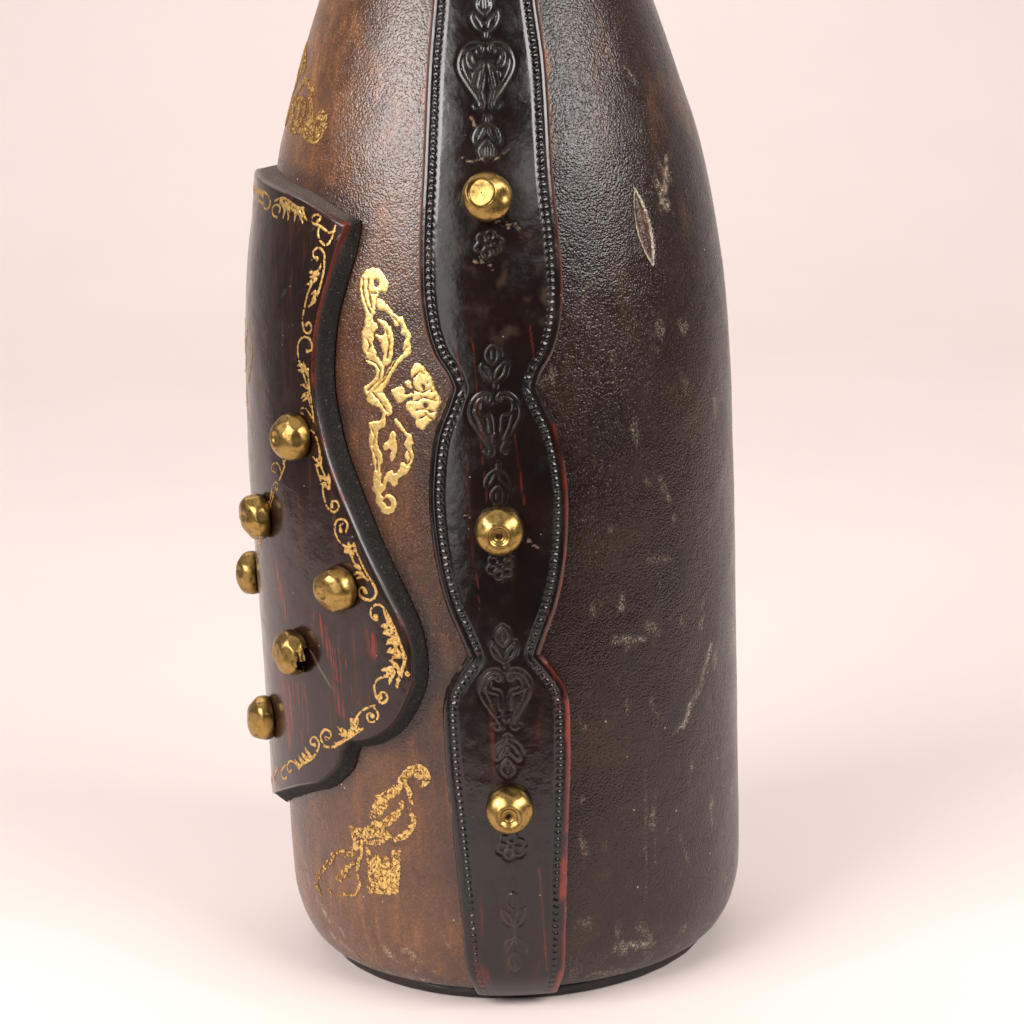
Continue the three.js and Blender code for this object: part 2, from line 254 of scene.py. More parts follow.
def build(name, parts, materials, body, node=None, attrs=None, sharp=40):
    """A piece from parts [(material number, (verts in mm, [faces]))], each part a closed body turned to face out."""
    fixed = []
    for number, (v, faces) in parts:
        v = np.asarray(v, float)
        vol = 0.0
        for f in faces:
            f = np.asarray(f)
            for k in range(1, f.shape[1] - 1):
                vol += np.einsum("ij,ij->i", v[f[:, 0]], np.cross(v[f[:, k]], v[f[:, k + 1]])).sum()
        fixed.append((number, (v, [np.asarray(f) if vol > 0 else np.asarray(f)[:, ::-1] for f in faces])))
    verts, q4, q3, m4, m3 = join(fixed)
    verts = np.vstack(verts) * MM
    loops = [f.reshape(-1) for f in q4 + q3]
    sizes = [np.full(len(f), f.shape[1]) for f in q4 + q3]
    loops, sizes = np.concatenate(loops).astype(np.int32), np.concatenate(sizes).astype(np.int32)
    me = bpy.data.meshes.new(name)
    me.vertices.add(len(verts))
    me.vertices.foreach_set("co", verts.astype(np.float32).ravel())
    me.loops.add(len(loops))
    me.loops.foreach_set("vertex_index", loops)
    me.polygons.add(len(sizes))
    me.polygons.foreach_set("loop_start", np.concatenate([[0], np.cumsum(sizes)[:-1]]).astype(np.int32))
    me.polygons.foreach_set("loop_total", sizes)
    for m in materials:
        me.materials.append(m)
    me.polygons.foreach_set("material_index", np.concatenate(m4 + m3).astype(np.int32))
    me.polygons.foreach_set("use_smooth", np.ones(len(sizes), bool))
    me.update(calc_edges=True)
    me.validate()
    me.set_sharp_from_angle(angle=math.radians(sharp))
    for key, values in (attrs or {}).items():
        a = me.attributes.new(key, "FLOAT", "POINT")
        full = np.zeros(len(me.vertices), np.float32)
        full[: len(values)] = values
        a.data.foreach_set("value", full)
    ob = bpy.data.objects.new(name, me)
    bpy.context.scene.collection.objects.link(ob)
    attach(ob, body)
    if node:
        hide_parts(node)
    return ob


# ------------------------------------------------------------------ body of revolution

BODY = pchip(
    [
        (0.5, 39.0), (2.7, 41.2), (5.5, 43.5), (9.2, 45.1), (13.8, 46.05), (19.3, 46.3), (27.6, 46.4), (92, 46.4),
        (110, 46.3), (119.6, 46.0), (133.4, 45.2), (147.2, 43.45), (161, 40.75), (174.8, 36.6), (188.6, 32.1),
        (210, 25.0), (232, 19.9), (254, 17.6), (272, 17.3),
    ]
)


def normal(z):
    s = (BODY(z + 0.4) - BODY(z - 0.4)) / 0.8
    k = np.sqrt(1 + s * s)
    return 1 / k, -s / k


def on_body(phi, z, h):
    """A point h millimetres out from the smooth cover, phi in radians."""
    nr, nz = normal(z)
    r = BODY(z) + h * nr
    return np.stack(np.broadcast_arrays(r * np.cos(phi), r * np.sin(phi), z + h * nz), -1)


def swell(x, z):
    """How far the front cover stands off at the shoulder, x in degrees round the bottle."""
    return 0.42 * smooth(136, 150, z) * smooth(196, 178, z) * smooth(-24, -60, x) * smooth(-178, -120, x)


# ------------------------------------------------------------------ materials


def srgb(r, g, b):
    def f(c):
        c /= 255
        return c / 12.92 if c <= 0.04045 else ((c + 0.055) / 1.055) ** 2.4

    return (f(r), f(g), f(b), 1.0)


class Mat:
    def __init__(self, name):
        self.m = bpy.data.materials.new(name)
        self.m.use_nodes = True
        self.t = self.m.node_tree
        self.t.nodes.clear()
        self.out = self.t.nodes.new("ShaderNodeOutputMaterial")
        self.b = self.t.nodes.new("ShaderNodeBsdfPrincipled")
        self.t.links.new(self.b.outputs[0], self.out.inputs[0])
        co = self.t.nodes.new("ShaderNodeTexCoord")
        s = self.t.nodes.new("ShaderNodeVectorMath")
        s.operation = "SCALE"
        s.inputs[3].default_value = 1000
        self.t.links.new(co.outputs["Object"], s.inputs[0])
        self.mm = s.outputs[0]

    def put(self, socket, value):
        if isinstance(value, bpy.types.NodeSocket):
            self.t.links.new(value, socket)
        else:
            socket.default_value = value

    def set(self, **values):
        for key, value in values.items():
            self.put(self.b.inputs[key.replace("_", " ")], value)

    def stretch(self, x, y, z, vec=None):
        n = self.t.nodes.new("ShaderNodeVectorMath")
        n.operation = "MULTIPLY"
        self.put(n.inputs[0], vec or self.mm)
        n.inputs[1].default_value = (x, y, z)
        return n.outputs[0]

    def warp(self, size, amount, vec=None):
        n = self.t.nodes.new("ShaderNodeTexNoise")
        self.put(n.inputs["Vector"], vec or self.mm)
        n.inputs["Scale"].default_value = 1 / size
        a = self.t.nodes.new("ShaderNodeVectorMath")
        a.operation = "MULTIPLY_ADD"
        self.put(a.inputs[0], n.outputs["Color"])
        a.inputs[1].default_value = (amount,) * 3
        self.put(a.inputs[2], vec or self.mm)
        return a.outputs[0]

    def noise(self, size, detail=3, rough=0.55, vec=None, distortion=0.0):
        n = self.t.nodes.new("ShaderNodeTexNoise")
        self.put(n.inputs["Vector"], vec or self.mm)
        n.inputs["Scale"].default_value = 1 / size
        n.inputs["Detail"].default_value = detail
        n.inputs["Roughness"].default_value = rough
        n.inputs["Distortion"].default_value = distortion
        return n.outputs[0]

    def cell(self, size, feature="F1", vec=None, out="Distance", randomness=1.0):
        n = self.t.nodes.new("ShaderNodeTexVoronoi")
        n.feature = feature
        self.put(n.inputs["Vector"], vec or self.mm)
        n.inputs["Scale"].default_value = 1 / size
        n.inputs["Randomness"].default_value = randomness
        if feature == "SMOOTH_F1":
            n.inputs["Smoothness"].default_value = 0.35
        return n.outputs[out]

    def ramp(self, x, *stops):
        n = self.t.nodes.new("ShaderNodeValToRGB")
        e = n.color_ramp.elements
        while len(e) < len(stops):
            e.new(0.5)
        for k, (pos, col) in enumerate(stops):
            e[k].position = pos
            e[k].color = col if isinstance(col, tuple) else (col, col, col, 1)
        self.put(n.inputs[0], x)
        return n.outputs[0]

    def step(self, x, a, b, lo=0.0, hi=1.0):
        n = self.t.nodes.new("ShaderNodeMapRange")
        n.interpolation_type = "SMOOTHSTEP"
        self.put(n.inputs[0], x)
        for k, v in zip((1, 2, 3, 4), (a, b, lo, hi)):
            n.inputs[k].default_value = v
        return n.outputs[0]

    def math(self, op, a, b=0.0, clamp=False):
        n = self.t.nodes.new("ShaderNodeMath")
        n.operation = op
        n.use_clamp = clamp
        self.put(n.inputs[0], a)
        self.put(n.inputs[1], b)
        return n.outputs[0]

    def mix(self, f, a, b, mode="MIX"):
        n = self.t.nodes.new("ShaderNodeMix")
        n.data_type = "RGBA"
        n.blend_type = mode
        self.put(n.inputs[0], f)
        self.put(n.inputs[6], a)
        self.put(n.inputs[7], b)
        return n.outputs[2]

    def attr(self, name):
        n = self.t.nodes.new("ShaderNodeAttribute")
        n.attribute_name = name
        return n.outputs["Fac"]

    def axis(self, k, vec=None):
        n = self.t.nodes.new("ShaderNodeSeparateXYZ")
        self.put(n.inputs[0], vec or self.mm)
        return n.outputs[k]

    def bump(self, height, strength, distance, normal=None):
        n = self.t.nodes.new("ShaderNodeBump")
        n.inputs["Strength"].default_value = strength
        n.inputs["Distance"].default_value = distance * MM
        self.put(n.inputs["Height"], height)
        if normal is not None:
            self.put(n.inputs["Normal"], normal)
        self.put(self.b.inputs["Normal"], n.outputs[0])
        return n.outputs[0]


def grain(k, size, depth, strength=1.0):
    """Pebbled leather grain as bump: rounded cells with creases, over a softer wrinkle."""
    w = k.warp(size * 1.8, size * 1.2)
    pebble = k.cell(size, "SMOOTH_F1", w)
    crease = k.cell(size * 2.4, "DISTANCE_TO_EDGE", w)
    h = k.math("ADD", k.math("MULTIPLY", pebble, -1.1), k.math("MULTIPLY", k.step(crease, 0.0, 0.12), 0.18))
    h = k.math("ADD", h, k.math("MULTIPLY", k.noise(size * 2.0, 3, 0.6), 0.30))
    n = k.bump(k.noise(size * 16, 3, 0.5), 0.4, 0.6)
    return k.bump(h, strength, depth, n), pebble


# ---- brown cover, worn and streaked
k = Mat("leather_brown")
_, pebble = grain(k, 0.44, 0.068)
low = k.noise(22, 4, 0.6)
streak = k.noise(2.6, 5, 0.68, k.stretch(1, 1, 0.16))
mott = k.noise(6, 6, 0.7)
base = k.ramp(low, (0.30, srgb(72, 45, 31)), (0.5, srgb(94, 60, 40)), (0.7, srgb(113, 74, 48)))
base = k.mix(k.step(streak, 0.46, 0.70, 0, 0.55), base, srgb(143, 90, 53))
base = k.mix(k.attr("tan"), base, k.mix(k.step(streak, 0.35, 0.65), srgb(122, 75, 40), srgb(166, 112, 66)))
base = k.mix(k.step(mott, 0.50, 0.72, 0, 0.55), base, srgb(59, 38, 29))
# darker patches of the leather, darker towards the straps and the bottom, and painted shadow round the foot of the
# shield
base = k.mix(k.attr("dark_tone_and_shade"), base, srgb(40, 28, 25))
tip = k.step(pebble, 0.55, 0.25)
scuff = k.math("MULTIPLY", k.attr("scuff"), k.math("ADD", k.math("MULTIPLY", tip, 0.75), 0.25), True)
base = k.mix(scuff, base, srgb(196, 172, 146))
# painted shade: the creases between the pebbles of the grain are darkened
base = k.mix(k.step(pebble, 0.30, 0.62, 0, 0.40), base, srgb(34, 23, 20))
dust = k.cell(4.2, "F1", k.mm)
base = k.mix(k.step(dust, 0.055, 0.03, 0, 0.7), base, srgb(205, 190, 172))
k.set(Base_Color=base, Roughness=k.math("ADD", k.ramp(k.noise(9, 4, 0.6), (0.3, 0.20), (0.7, 0.31)), k.math("MULTIPLY", k.attr("tan"), 0.10)))
k.b.inputs["Specular IOR Level"].default_value = 0.64
BROWN = k.m

# ---- rear cover, darker than the front
k = Mat("leather_dark")
_, pebble = grain(k, 0.42, 0.078)
low = k.noise(24, 4, 0.6)
base = k.ramp(low, (0.3, srgb(33, 20, 15)), (0.55, srgb(47, 30, 22)), (0.75, srgb(63, 43, 31)))
base = k.mix(k.step(k.noise(5, 6, 0.7), 0.54, 0.74, 0, 0.45), base, srgb(70, 52, 43))
base = k.mix(k.step(k.noise(3.4, 5, 0.7, k.stretch(1, 1, 0.35)), 0.60, 0.74, 0, 0.35), base, srgb(104, 84, 66))
base = k.mix(k.attr("tan"), base, srgb(138, 88, 48))
# on this cover the darkening mask holds only darker blotches of the leather
base = k.mix(k.attr("dark_tone_and_shade"), base, srgb(22, 16, 15))
tip = k.step(pebble, 0.55, 0.25)
scuff = k.math("MULTIPLY", k.attr("scuff"), k.math("ADD", k.math("MULTIPLY", tip, 0.8), 0.2), True)
base = k.mix(scuff, base, k.mix(k.noise(0.8, 3, 0.6), srgb(150, 128, 104), srgb(206, 192, 172)))
base = k.mix(k.attr("cut"), base, k.mix(k.noise(0.6, 4, 0.7), srgb(134, 110, 88), srgb(208, 192, 170)))
# a pointed cut whose skin has peeled: rubbed inside, with a whitish rim
across = k.math("SUBTRACT", k.math("MULTIPLY", k.math("ARCTAN2", k.axis(1), k.axis(0)), 46.0), 32.27)
above = k.math("SUBTRACT", k.axis(2), 146.6)
down = k.math("SUBTRACT", k.math("MULTIPLY", across, 0.16), above)
off = k.math("ABSOLUTE", k.math("ADD", across, k.math("MULTIPLY", above, 0.16)))
half = k.math("SUBTRACT", 1.75, k.math("MULTIPLY", k.math("MULTIPLY", down, down), 1.75 / 7.1**2))
gap = k.math("ADD", k.math("SUBTRACT", off, half), k.math("MULTIPLY", k.math("SUBTRACT", k.noise(1.1, 3, 0.6), 0.5), 0.7))
there = k.step(half, -0.2, 0.05)
rubbed_in = k.math("MULTIPLY", k.step(gap, 0.05, -0.15), there)
base = k.mix(k.math("MULTIPLY", rubbed_in, 0.85), base, k.mix(k.step(k.noise(0.9, 4, 0.7, k.stretch(1, 1, 0.3)), 0.4, 0.65), srgb(72, 50, 41), srgb(132, 106, 88)))
rim_of = k.math("MULTIPLY", k.math("MULTIPLY", k.step(k.math("ABSOLUTE", gap), 0.34, 0.12), there), k.step(k.noise(1.5, 4, 0.7), 0.34, 0.52, 0.25, 0.95))
base = k.mix(rim_of, base, srgb(204, 187, 163))
# painted shade: the creases between the pebbles of the grain are darkened
base = k.mix(k.step(pebble, 0.30, 0.62, 0, 0.45), base, srgb(14, 10, 9))
dust = k.cell(5.5, "F1", k.mm)
base = k.mix(k.step(dust, 0.04, 0.022, 0, 0.7), base, srgb(190, 175, 160))
k.set(Base_Color=base, Roughness=k.ramp(k.noise(8, 4, 0.6), (0.3, 0.20), (0.7, 0.31)))
k.b.inputs["Specular IOR Level"].default_value = 0.46
BACK = k.m


def black_leather(name, tint, rough, soft, level, patchy, streaky=0.0):
    k = Mat(name)
    k.b.inputs["Specular IOR Level"].default_value = level
    n = k.bump(k.noise(8, 4, 0.6), 0.30, 0.5)
    n = k.bump(k.noise(1.3, 4, 0.6), 0.10, soft, n)
    if streaky:
        n = k.bump(k.noise(0.6, 4, 0.6, k.stretch(1, 1, 0.05)), 0.25, 0.05, n)
    n = k.bump(k.noise(0.3, 4, 0.65), 0.16, 0.03, n)
    loose = k.math("MULTIPLY", k.noise(0.5, 5, 0.75), k.math("ADD", k.attr("dusty"), k.math("MULTIPLY", k.attr("raw"), 0.8)))
    k.bump(loose, 0.9, 0.35, n)
    low = k.noise(18, 4, 0.6)
    base = k.ramp(low, (0.3, srgb(*tint[0])), (0.7, srgb(*tint[1])))
    if streaky:
        base = k.mix(k.step(k.noise(1.1, 5, 0.65, k.stretch(1, 1, 0.04)), 0.50, 0.72, 0, streaky), base, srgb(74, 36, 26))
        base = k.mix(k.step(k.noise(0.7, 4, 0.65, k.stretch(1, 1, 0.03)), 0.55, 0.72, 0, streaky), base, srgb(12, 8, 7))
    red = k.mix(k.noise(1.0, 5, 0.7, k.stretch(1, 1, 0.3)), srgb(40, 12, 9), srgb(146, 50, 31))
    base = k.mix(k.attr("red"), base, red)
    if streaky:
        fine_streak = k.step(k.noise(0.55, 3, 0.6, k.stretch(1, 1, 0.02)), 0.49, 0.58)
        base = k.mix(k.math("MULTIPLY", fine_streak, k.attr("streak")), base, srgb(116, 35, 25))
    # paler rubbed wear, and painted sheen on the raised stamped lines and towards the shield's middle
    base = k.mix(k.attr("pale_wear_and_sheen"), base, srgb(150, 128, 108))
    # painted shade: hollows, grooves and the shield's wall darkened almost to black
    base = k.mix(k.attr("cavity_shade"), base, srgb(6, 4, 4))
    raw = k.attr("raw")
    base = k.mix(k.math("MULTIPLY", raw, 0.8), base, k.mix(k.step(k.noise(0.9, 5, 0.75), 0.45, 0.68), srgb(7, 5, 5), srgb(38, 28, 23)))
    base = k.mix(k.math("MULTIPLY", k.step(k.noise(0.40, 4, 0.7), 0.63, 0.70), k.math("MULTIPLY", raw, 0.75)), base, srgb(152, 140, 130))
    speck = k.step(k.noise(0.42, 5, 0.75), 0.52, 0.66)
    dusty = k.math("MULTIPLY", k.attr("dusty"), k.math("ADD", k.math("MULTIPLY", speck, 0.85), k.math("MULTIPLY", k.attr("dusty"), 0.3)), True)
    base = k.mix(dusty, base, k.mix(k.noise(1.1, 4, 0.6), srgb(112, 98, 82), srgb(146, 134, 118)))
    dust = k.cell(3.4, "F1", k.mm)
    base = k.mix(k.step(dust, 0.05, 0.028, 0, 0.6), base, srgb(170, 160, 152))
    r = k.ramp(k.noise(6, 6, 0.7), (0.35, rough), (0.5, rough + 0.3 * patchy), (0.62, rough + patchy))
    r = k.math("ADD", r, k.math("MULTIPLY", k.attr("dusty"), 0.5), True)
    r = k.math("ADD", r, k.math("MULTIPLY", raw, 0.55), True)
    r = k.math("ADD", r, k.math("MULTIPLY", k.attr("cavity_shade"), 0.22), True)
    r = k.math("ADD", r, k.math("MULTIPLY", k.attr("red"), 0.12), True)
    k.set(Base_Color=base, Roughness=r)
    return k.m


STRAP = black_leather("leather_black_strap", ((15, 9, 8), (27, 16, 13)), 0.13, 0.10, 0.58, 0.16)
SHIELD = black_leather("leather_black_shield", ((21, 12, 9), (40, 23, 17)), 0.14, 0.12, 0.52, 0.12, 0.6)

# ---- sole
k = Mat("leather_sole")
n = k.bump(k.noise(2.5, 4, 0.6), 0.4, 0.4)
k.bump(k.noise(0.3, 4, 0.7, k.stretch(1, 1, 3)), 0.4, 0.08, n)
base = k.ramp(k.noise(6, 5, 0.65), (0.3, srgb(16, 11, 9)), (0.7, srgb(40, 27, 21)))
base = k.mix(k.step(k.noise(1.1, 5, 0.7), 0.60, 0.75, 0, 0.45), base, srgb(92, 68, 50))
k.set(Base_Color=base, Roughness=k.ramp(k.noise(3, 3), (0.3, 0.35), (0.7, 0.6)))
SOLE = k.m


def brass(name, a, b, patina, rough, cover, depth, size=1.4):
    k = Mat(name)
    n = k.bump(k.noise(1.6, 3, 0.5), 0.35, depth)
    k.bump(k.noise(0.22, 4, 0.7), 0.25, depth * 0.16, n)
    base = k.mix(k.noise(1.3, 4, 0.6), srgb(*a), srgb(*b))
    dirt = k.step(k.noise(size, 6, 0.7), 0.50, 0.68, 0, cover)
    dirt = k.math("ADD", dirt, k.attr("grime"), True)
    base = k.mix(dirt, base, srgb(*patina))
    r = k.math("ADD", k.ramp(k.noise(0.8, 4, 0.6), (0.3, rough), (0.7, rough + 0.14)), k.math("MULTIPLY", dirt, 0.18), True)
    k.set(Base_Color=base, Metallic=1.0, Roughness=r)
    return k.m


BRASS = brass("brass_stud", (150, 120, 66), (182, 150, 90), (68, 50, 24), 0.24, 0.66, 0.12)
GILT = brass("gilt", (235, 193, 114), (250, 224, 156), (172, 124, 62), 0.34, 0.5, 0.05, 0.5)
k = Mat("rust")
k.bump(k.noise(0.4, 5, 0.7), 0.8, 0.2)
k.set(Base_Color=k.ramp(k.noise(0.5, 5, 0.7), (0.3, srgb(32, 18, 12)), (0.7, srgb(96, 50, 26))), Roughness=k.ramp(k.noise(0.8, 3), (0.3, 0.7), (0.7, 0.9)))
RUST = k.m

k = Mat("glass_olive")
n = k.bump(k.noise(14, 3, 0.5), 0.15, 0.6)
k.bump(k.noise(1.2, 2, 0.5), 0.05, 0.05, n)
k.set(
    Base_Color=k.ramp(k.noise(30, 3), (0.3, srgb(96, 118, 74)), (0.7, srgb(132, 150, 98))),
    Roughness=k.ramp(k.noise(5, 4, 0.7), (0.45, 0.02), (0.75, 0.10)),
)
k.b.inputs["Transmission Weight"].default_value = 1.0
k.b.inputs["IOR"].default_value = 1.5
GLASS = k.m

k = Mat("cork")
pore = k.cell(1.5, "F1", k.warp(1.2, 0.6))
n = k.bump(k.step(pore, 0.12, 0.3), 0.7, 0.25)
k.bump(k.noise(0.35, 4, 0.7), 0.4, 0.08, n)
base = k.ramp(k.noise(2.2, 5, 0.65), (0.3, srgb(160, 116, 74)), (0.7, srgb(206, 166, 118)))
base = k.mix(k.step(pore, 0.24, 0.10, 0, 0.85), base, srgb(84, 54, 32))
k.set(Base_Color=base, Roughness=k.ramp(k.noise(1, 3), (0.3, 0.75), (0.7, 0.92)))
CORK = k.m

k = Mat("wood_turned")
ring = k.noise(1.1, 4, 0.6, k.stretch(1, 1, 0.08), 0.6)
k.bump(ring, 0.3, 0.1)
k.set(
    Base_Color=k.ramp(ring, (0.3, srgb(104, 66, 38)), (0.55, srgb(146, 98, 58)), (0.75, srgb(168, 118, 74))),
    Roughness=k.ramp(k.noise(0.7, 3), (0.3, 0.45), (0.7, 0.62)),
)
WOOD = k.m

# ------------------------------------------------------------------ outline of the shield

FACE = pchip(
    [(26, 49.8), (36, 49.7), (62, 49.9), (84, 50.3), (100, 50.5), (113, 50.2), (123, 49.9), (133, 49.2), (142.7, 48.1), (150, 46.9), (162, 45.6)]
)
OUTLINE = [
    [(0, 158), (11, 157.4), (22, 156.3), (32, 155.1), (41.7, 153.7), (56.9, 149.3)],
    [(56.9, 149.3), (54.7, 144.8), (51.9, 138.4), (49.5, 132), (48.3, 125.4), (48.3, 118.8), (50, 112.3), (52.3, 106), (57.7, 95.8), (60.9, 89.9), (64.7, 83.5), (67.8, 78.2), (69.6, 73.6), (70.1, 68.9), (69.4, 64.8), (66.4, 59.7), (62.7, 56.3), (57.9, 54.1), (52.2, 52.9)],
    [(52.2, 52.9), (50.5, 50.8), (48.4, 47.3), (42.5, 43.4), (38, 41.9), (33.2, 40.5), (27, 38.5), (21, 36.5), (15, 34.6), (10, 32.9), (5, 31.2), (0, 30)],
]
RS = 49.4
DEG = math.pi / 180


def shield_line():
    half = []
    for part in OUTLINE:
        c = curve([(a * DEG * RS, z) for a, z in part], 0.5)
        half.append(c if not half else c[1:])
    half = np.vstack(half)
    other = half[1:-1][::-1] * [-1, 1]
    return np.vstack([half, other])


EDGE = shield_line()  # closed, clockwise from the top of the centre line


def signed(x, z, line=EDGE):
    """Distance to the shield's face edge, positive inside."""
    a, b = line, np.roll(line, -1, 0)
    best = np.full(x.shape, 1e9)
    inside = np.zeros(x.shape, bool)
    for (ax, az), (bx, bz) in zip(a, b):
        ex, ez = bx - ax, bz - az
        t = np.clip(((x - ax) * ex + (z - az) * ez) / (ex * ex + ez * ez), 0, 1)
        best = np.minimum(best, (x - ax - t * ex) ** 2 + (z - az - t * ez) ** 2)
        cross = (az > z) != (bz > z)
        if abs(bz - az) > 1e-12:
            inside ^= cross & (x < (bx - ax) * (z - az) / (bz - az) + ax)
    return np.where(inside, 1, -1) * np.sqrt(best)


def on_shield(s, z, r):
    a = -math.pi / 2 + s / RS
    return np.stack(np.broadcast_arrays(r * np.cos(a), r * np.sin(a), z), -1)


# ------------------------------------------------------------------ covers

Z_BODY = np.concatenate([np.arange(3.4, 190, 0.46), np.arange(190, 271.5, 1.5), [272.0]])
HEM = [(33.0, 2.9), (36.5, 2.75), (39.4, 2.75), (40.7, 2.95)]


def segment_mask(x, y, a, b, wa, wb=None, fade=0.5):
    """1 near the line from a to b, whose half-width goes from wa to wb."""
    a, b = np.asarray(a, float), np.asarray(b, float)
    d = b - a
    t = np.clip(((x - a[0]) * d[0] + (y - a[1]) * d[1]) / (d @ d), 0, 1)
    dist = np.hypot(x - a[0] - t * d[0], y - a[1] - t * d[1])
    w = wa + (wa if wb is None else wb) * t - wa * t
    return 1 - smooth(w * (1 - fade), w * (1 + fade), dist)


def cover(name, phis, mat, seed, node, slot, marks):
    phi = np.radians(phis)
    hem = np.array(HEM)
    prof = np.vstack([hem, np.stack([BODY(Z_BODY), Z_BODY], -1)])
    d = np.gradient(prof, axis=0)
    d /= np.hypot(d[:, 0], d[:, 1])[:, None]
    nrm = np.stack([d[:, 1], -d[:, 0]], -1)

    def place(h):
        r = prof[:, None, 0] + nrm[:, None, 0] * h
        z = prof[:, None, 1] + nrm[:, None, 1] * h
        return np.stack([r * np.cos(phi), r * np.sin(phi), z + 0 * r], -1)

    zero = np.zeros((len(prof), len(phi)))
    p0 = place(zero)
    x = np.degrees(phi)[None, :] + zero
    z = prof[:, None, 1] + zero
    arc = x * np.pi / 180 * 46
    h = 0.16 * fbm(p0, 24, seed) + 0.05 * fbm(p0, 5, seed + 3)
    tan, dark_tone_and_shade, scuff, dent, cut = marks(x, arc, z, p0)
    h = np.clip(h - 0.12, -0.35, 0.0) - dent
    if seed == 3:
        h += swell(x, z)
    h[: len(HEM)] = 0
    verts, *faces = skin(place(h), place(zero - 2.0), spaced(np.arange(len(prof)) * 1.0, 5), spaced(phis, 3.4))
    attrs = {"tan": tan.ravel(), "dark_tone_and_shade": dark_tone_and_shade.ravel(), "scuff": scuff.ravel(), "cut": cut.ravel()}
    return build(name, [(0, (verts, faces))], [mat], "bottle", node, attrs)


def front_marks(x, arc, z, p):
    v = fbm(p * [1, 1, 0.16], 3.0, 91)
    tan = smooth(135, 188, z + 12 * fbm(p, 20, 5)) * smooth(-30, -58, x) * np.clip(0.5 + 0.9 * v, 0, 1)
    tan += smooth(40, 12, z + 8 * fbm(p, 9, 6)) * smooth(-12, -40, x) * 0.22 * np.clip(0.5 + v, 0, 1)
    # darker towards the right strap below the shoulder, by the left strap, in random patches and towards the bottom
    dark_tone_and_shade = smooth(-33, -9, x) * smooth(-10, 60, z) * smooth(182, 120, z) * 0.50
    dark_tone_and_shade += smooth(-152, -172, x) * 0.4
    dark_tone_and_shade += 0.35 * smooth(0.1, 0.6, fbm(p * [1, 1, 0.6], 11, 33))
    dark_tone_and_shade += smooth(8, 3.5, z) * 0.35
    # painted shadow: darker round the foot of the shield
    dark_tone_and_shade += 0.6 * smooth(-5.0, -2.2, signed(RS * (np.radians(x) + math.pi / 2), z))
    rag = np.clip(0.35 + 1.3 * fbm(p, 1.5, 63), 0, 1)
    scuff = 0 * x
    for a, b, w in (
        ((-47, 15.5), (-43, 12.5), 0.9), ((-41, 13.0), (-38.5, 10.5), 0.7), ((-44, 9.5), (-37, 6.0), 0.8), ((-27.5, 10.5), (-25.0, 8.0), 0.7), ((-22.0, 11.0), (-19.0, 9.0), 0.9),
        ((-23.5, 4.6), (-19.0, 3.9), 0.8), ((-14, 16), (-12.5, 13.0), 0.35), ((-52, 22), (-50, 17), 0.6), ((-33, 7.5), (-30, 6.0), 0.5), ((-17, 7.0), (-15, 6.0), 0.4),
        ((-96, 20), (-90, 16), 0.8), ((-110, 14), (-102, 10), 0.8), ((-78, 12), (-70, 8), 0.7),
    ):
        scuff = np.maximum(scuff, 0.85 * segment_mask(arc, z, a, b, w, w * 0.7, 0.7))
    scuff = scuff * rag + 0.30 * smooth(0.30, 0.60, fbm(p, 2.5, 61)) * smooth(26, 6, z)
    return np.clip(tan, 0, 1), np.clip(dark_tone_and_shade, 0, 0.9), np.clip(scuff, 0, 1), 0 * x, 0 * x


BACK_SCARS = [
    # (degrees, z) to (degrees, z), half-widths, strength, depth
    ((49.2, 157.5), (52.2, 154.6), 0.45, 0.75, 0.8, 0.10),
    ((46.6, 154.8), (49.4, 150.0), 0.75, 0.9, 0.9, 0.12),
    ((39.5, 178.5), (41.0, 173.0), 0.5, 0.4, 0.45, 0.0),
    ((45.0, 175.0), (48.0, 172.0), 0.8, 0.6, 0.40, 0.0),
    ((36.0, 85.6), (43.0, 84.8), 0.6, 0.4, 0.30, 0.0),
    ((26.5, 71.4), (34.0, 70.6), 0.8, 0.5, 0.75, 0.05),
    ((35.5, 73.0), (38.0, 71.5), 0.9, 0.9, 0.45, 0.0),
    ((58.6, 65.0), (55.0, 60.6), 0.7, 0.5, 0.85, 0.08),
    ((55.4, 61.2), (53.6, 57.6), 0.5, 0.6, 0.85, 0.08),
    ((54.0, 58.2), (48.6, 54.8), 0.6, 0.7, 0.80, 0.08),
    ((49.0, 55.4), (46.4, 51.6), 0.6, 0.5, 0.80, 0.08),
    ((46.8, 52.2), (42.4, 50.5), 0.5, 0.3, 0.70, 0.05),
    ((33.7, 45.2), (32.9, 19.3), 0.30, 0.22, 0.30, 0.0),
    ((36.4, 40.0), (35.8, 26.0), 0.24, 0.20, 0.22, 0.0),
    ((29.0, 10.6), (35.5, 9.6), 0.9, 0.8, 0.75, 0.05),
    ((31.0, 14.5), (33.5, 12.0), 0.8, 0.5, 0.55, 0.0),
    ((20.0, 5.6), (24.0, 5.0), 0.5, 0.6, 0.60, 0.0),
    ((26.0, 4.9), (28.5, 4.6), 0.4, 0.5, 0.55, 0.0),
    ((44.0, 30.0), (47.0, 24.0), 0.4, 0.3, 0.30, 0.0),
    ((40.0, 100.0), (43.0, 96.0), 0.8, 0.6, 0.35, 0.0),
    ((120.0, 120.0), (128.0, 104.0), 0.8, 0.6, 0.60, 0.05),
    ((100.0, 60.0), (92.0, 70.0), 0.6, 0.9, 0.60, 0.05),
    ((140.0, 40.0), (150.0, 36.0), 0.7, 0.6, 0.60, 0.0),
    ((112.0, 150.0), (105.0, 160.0), 0.5, 0.6, 0.60, 0.0),
]


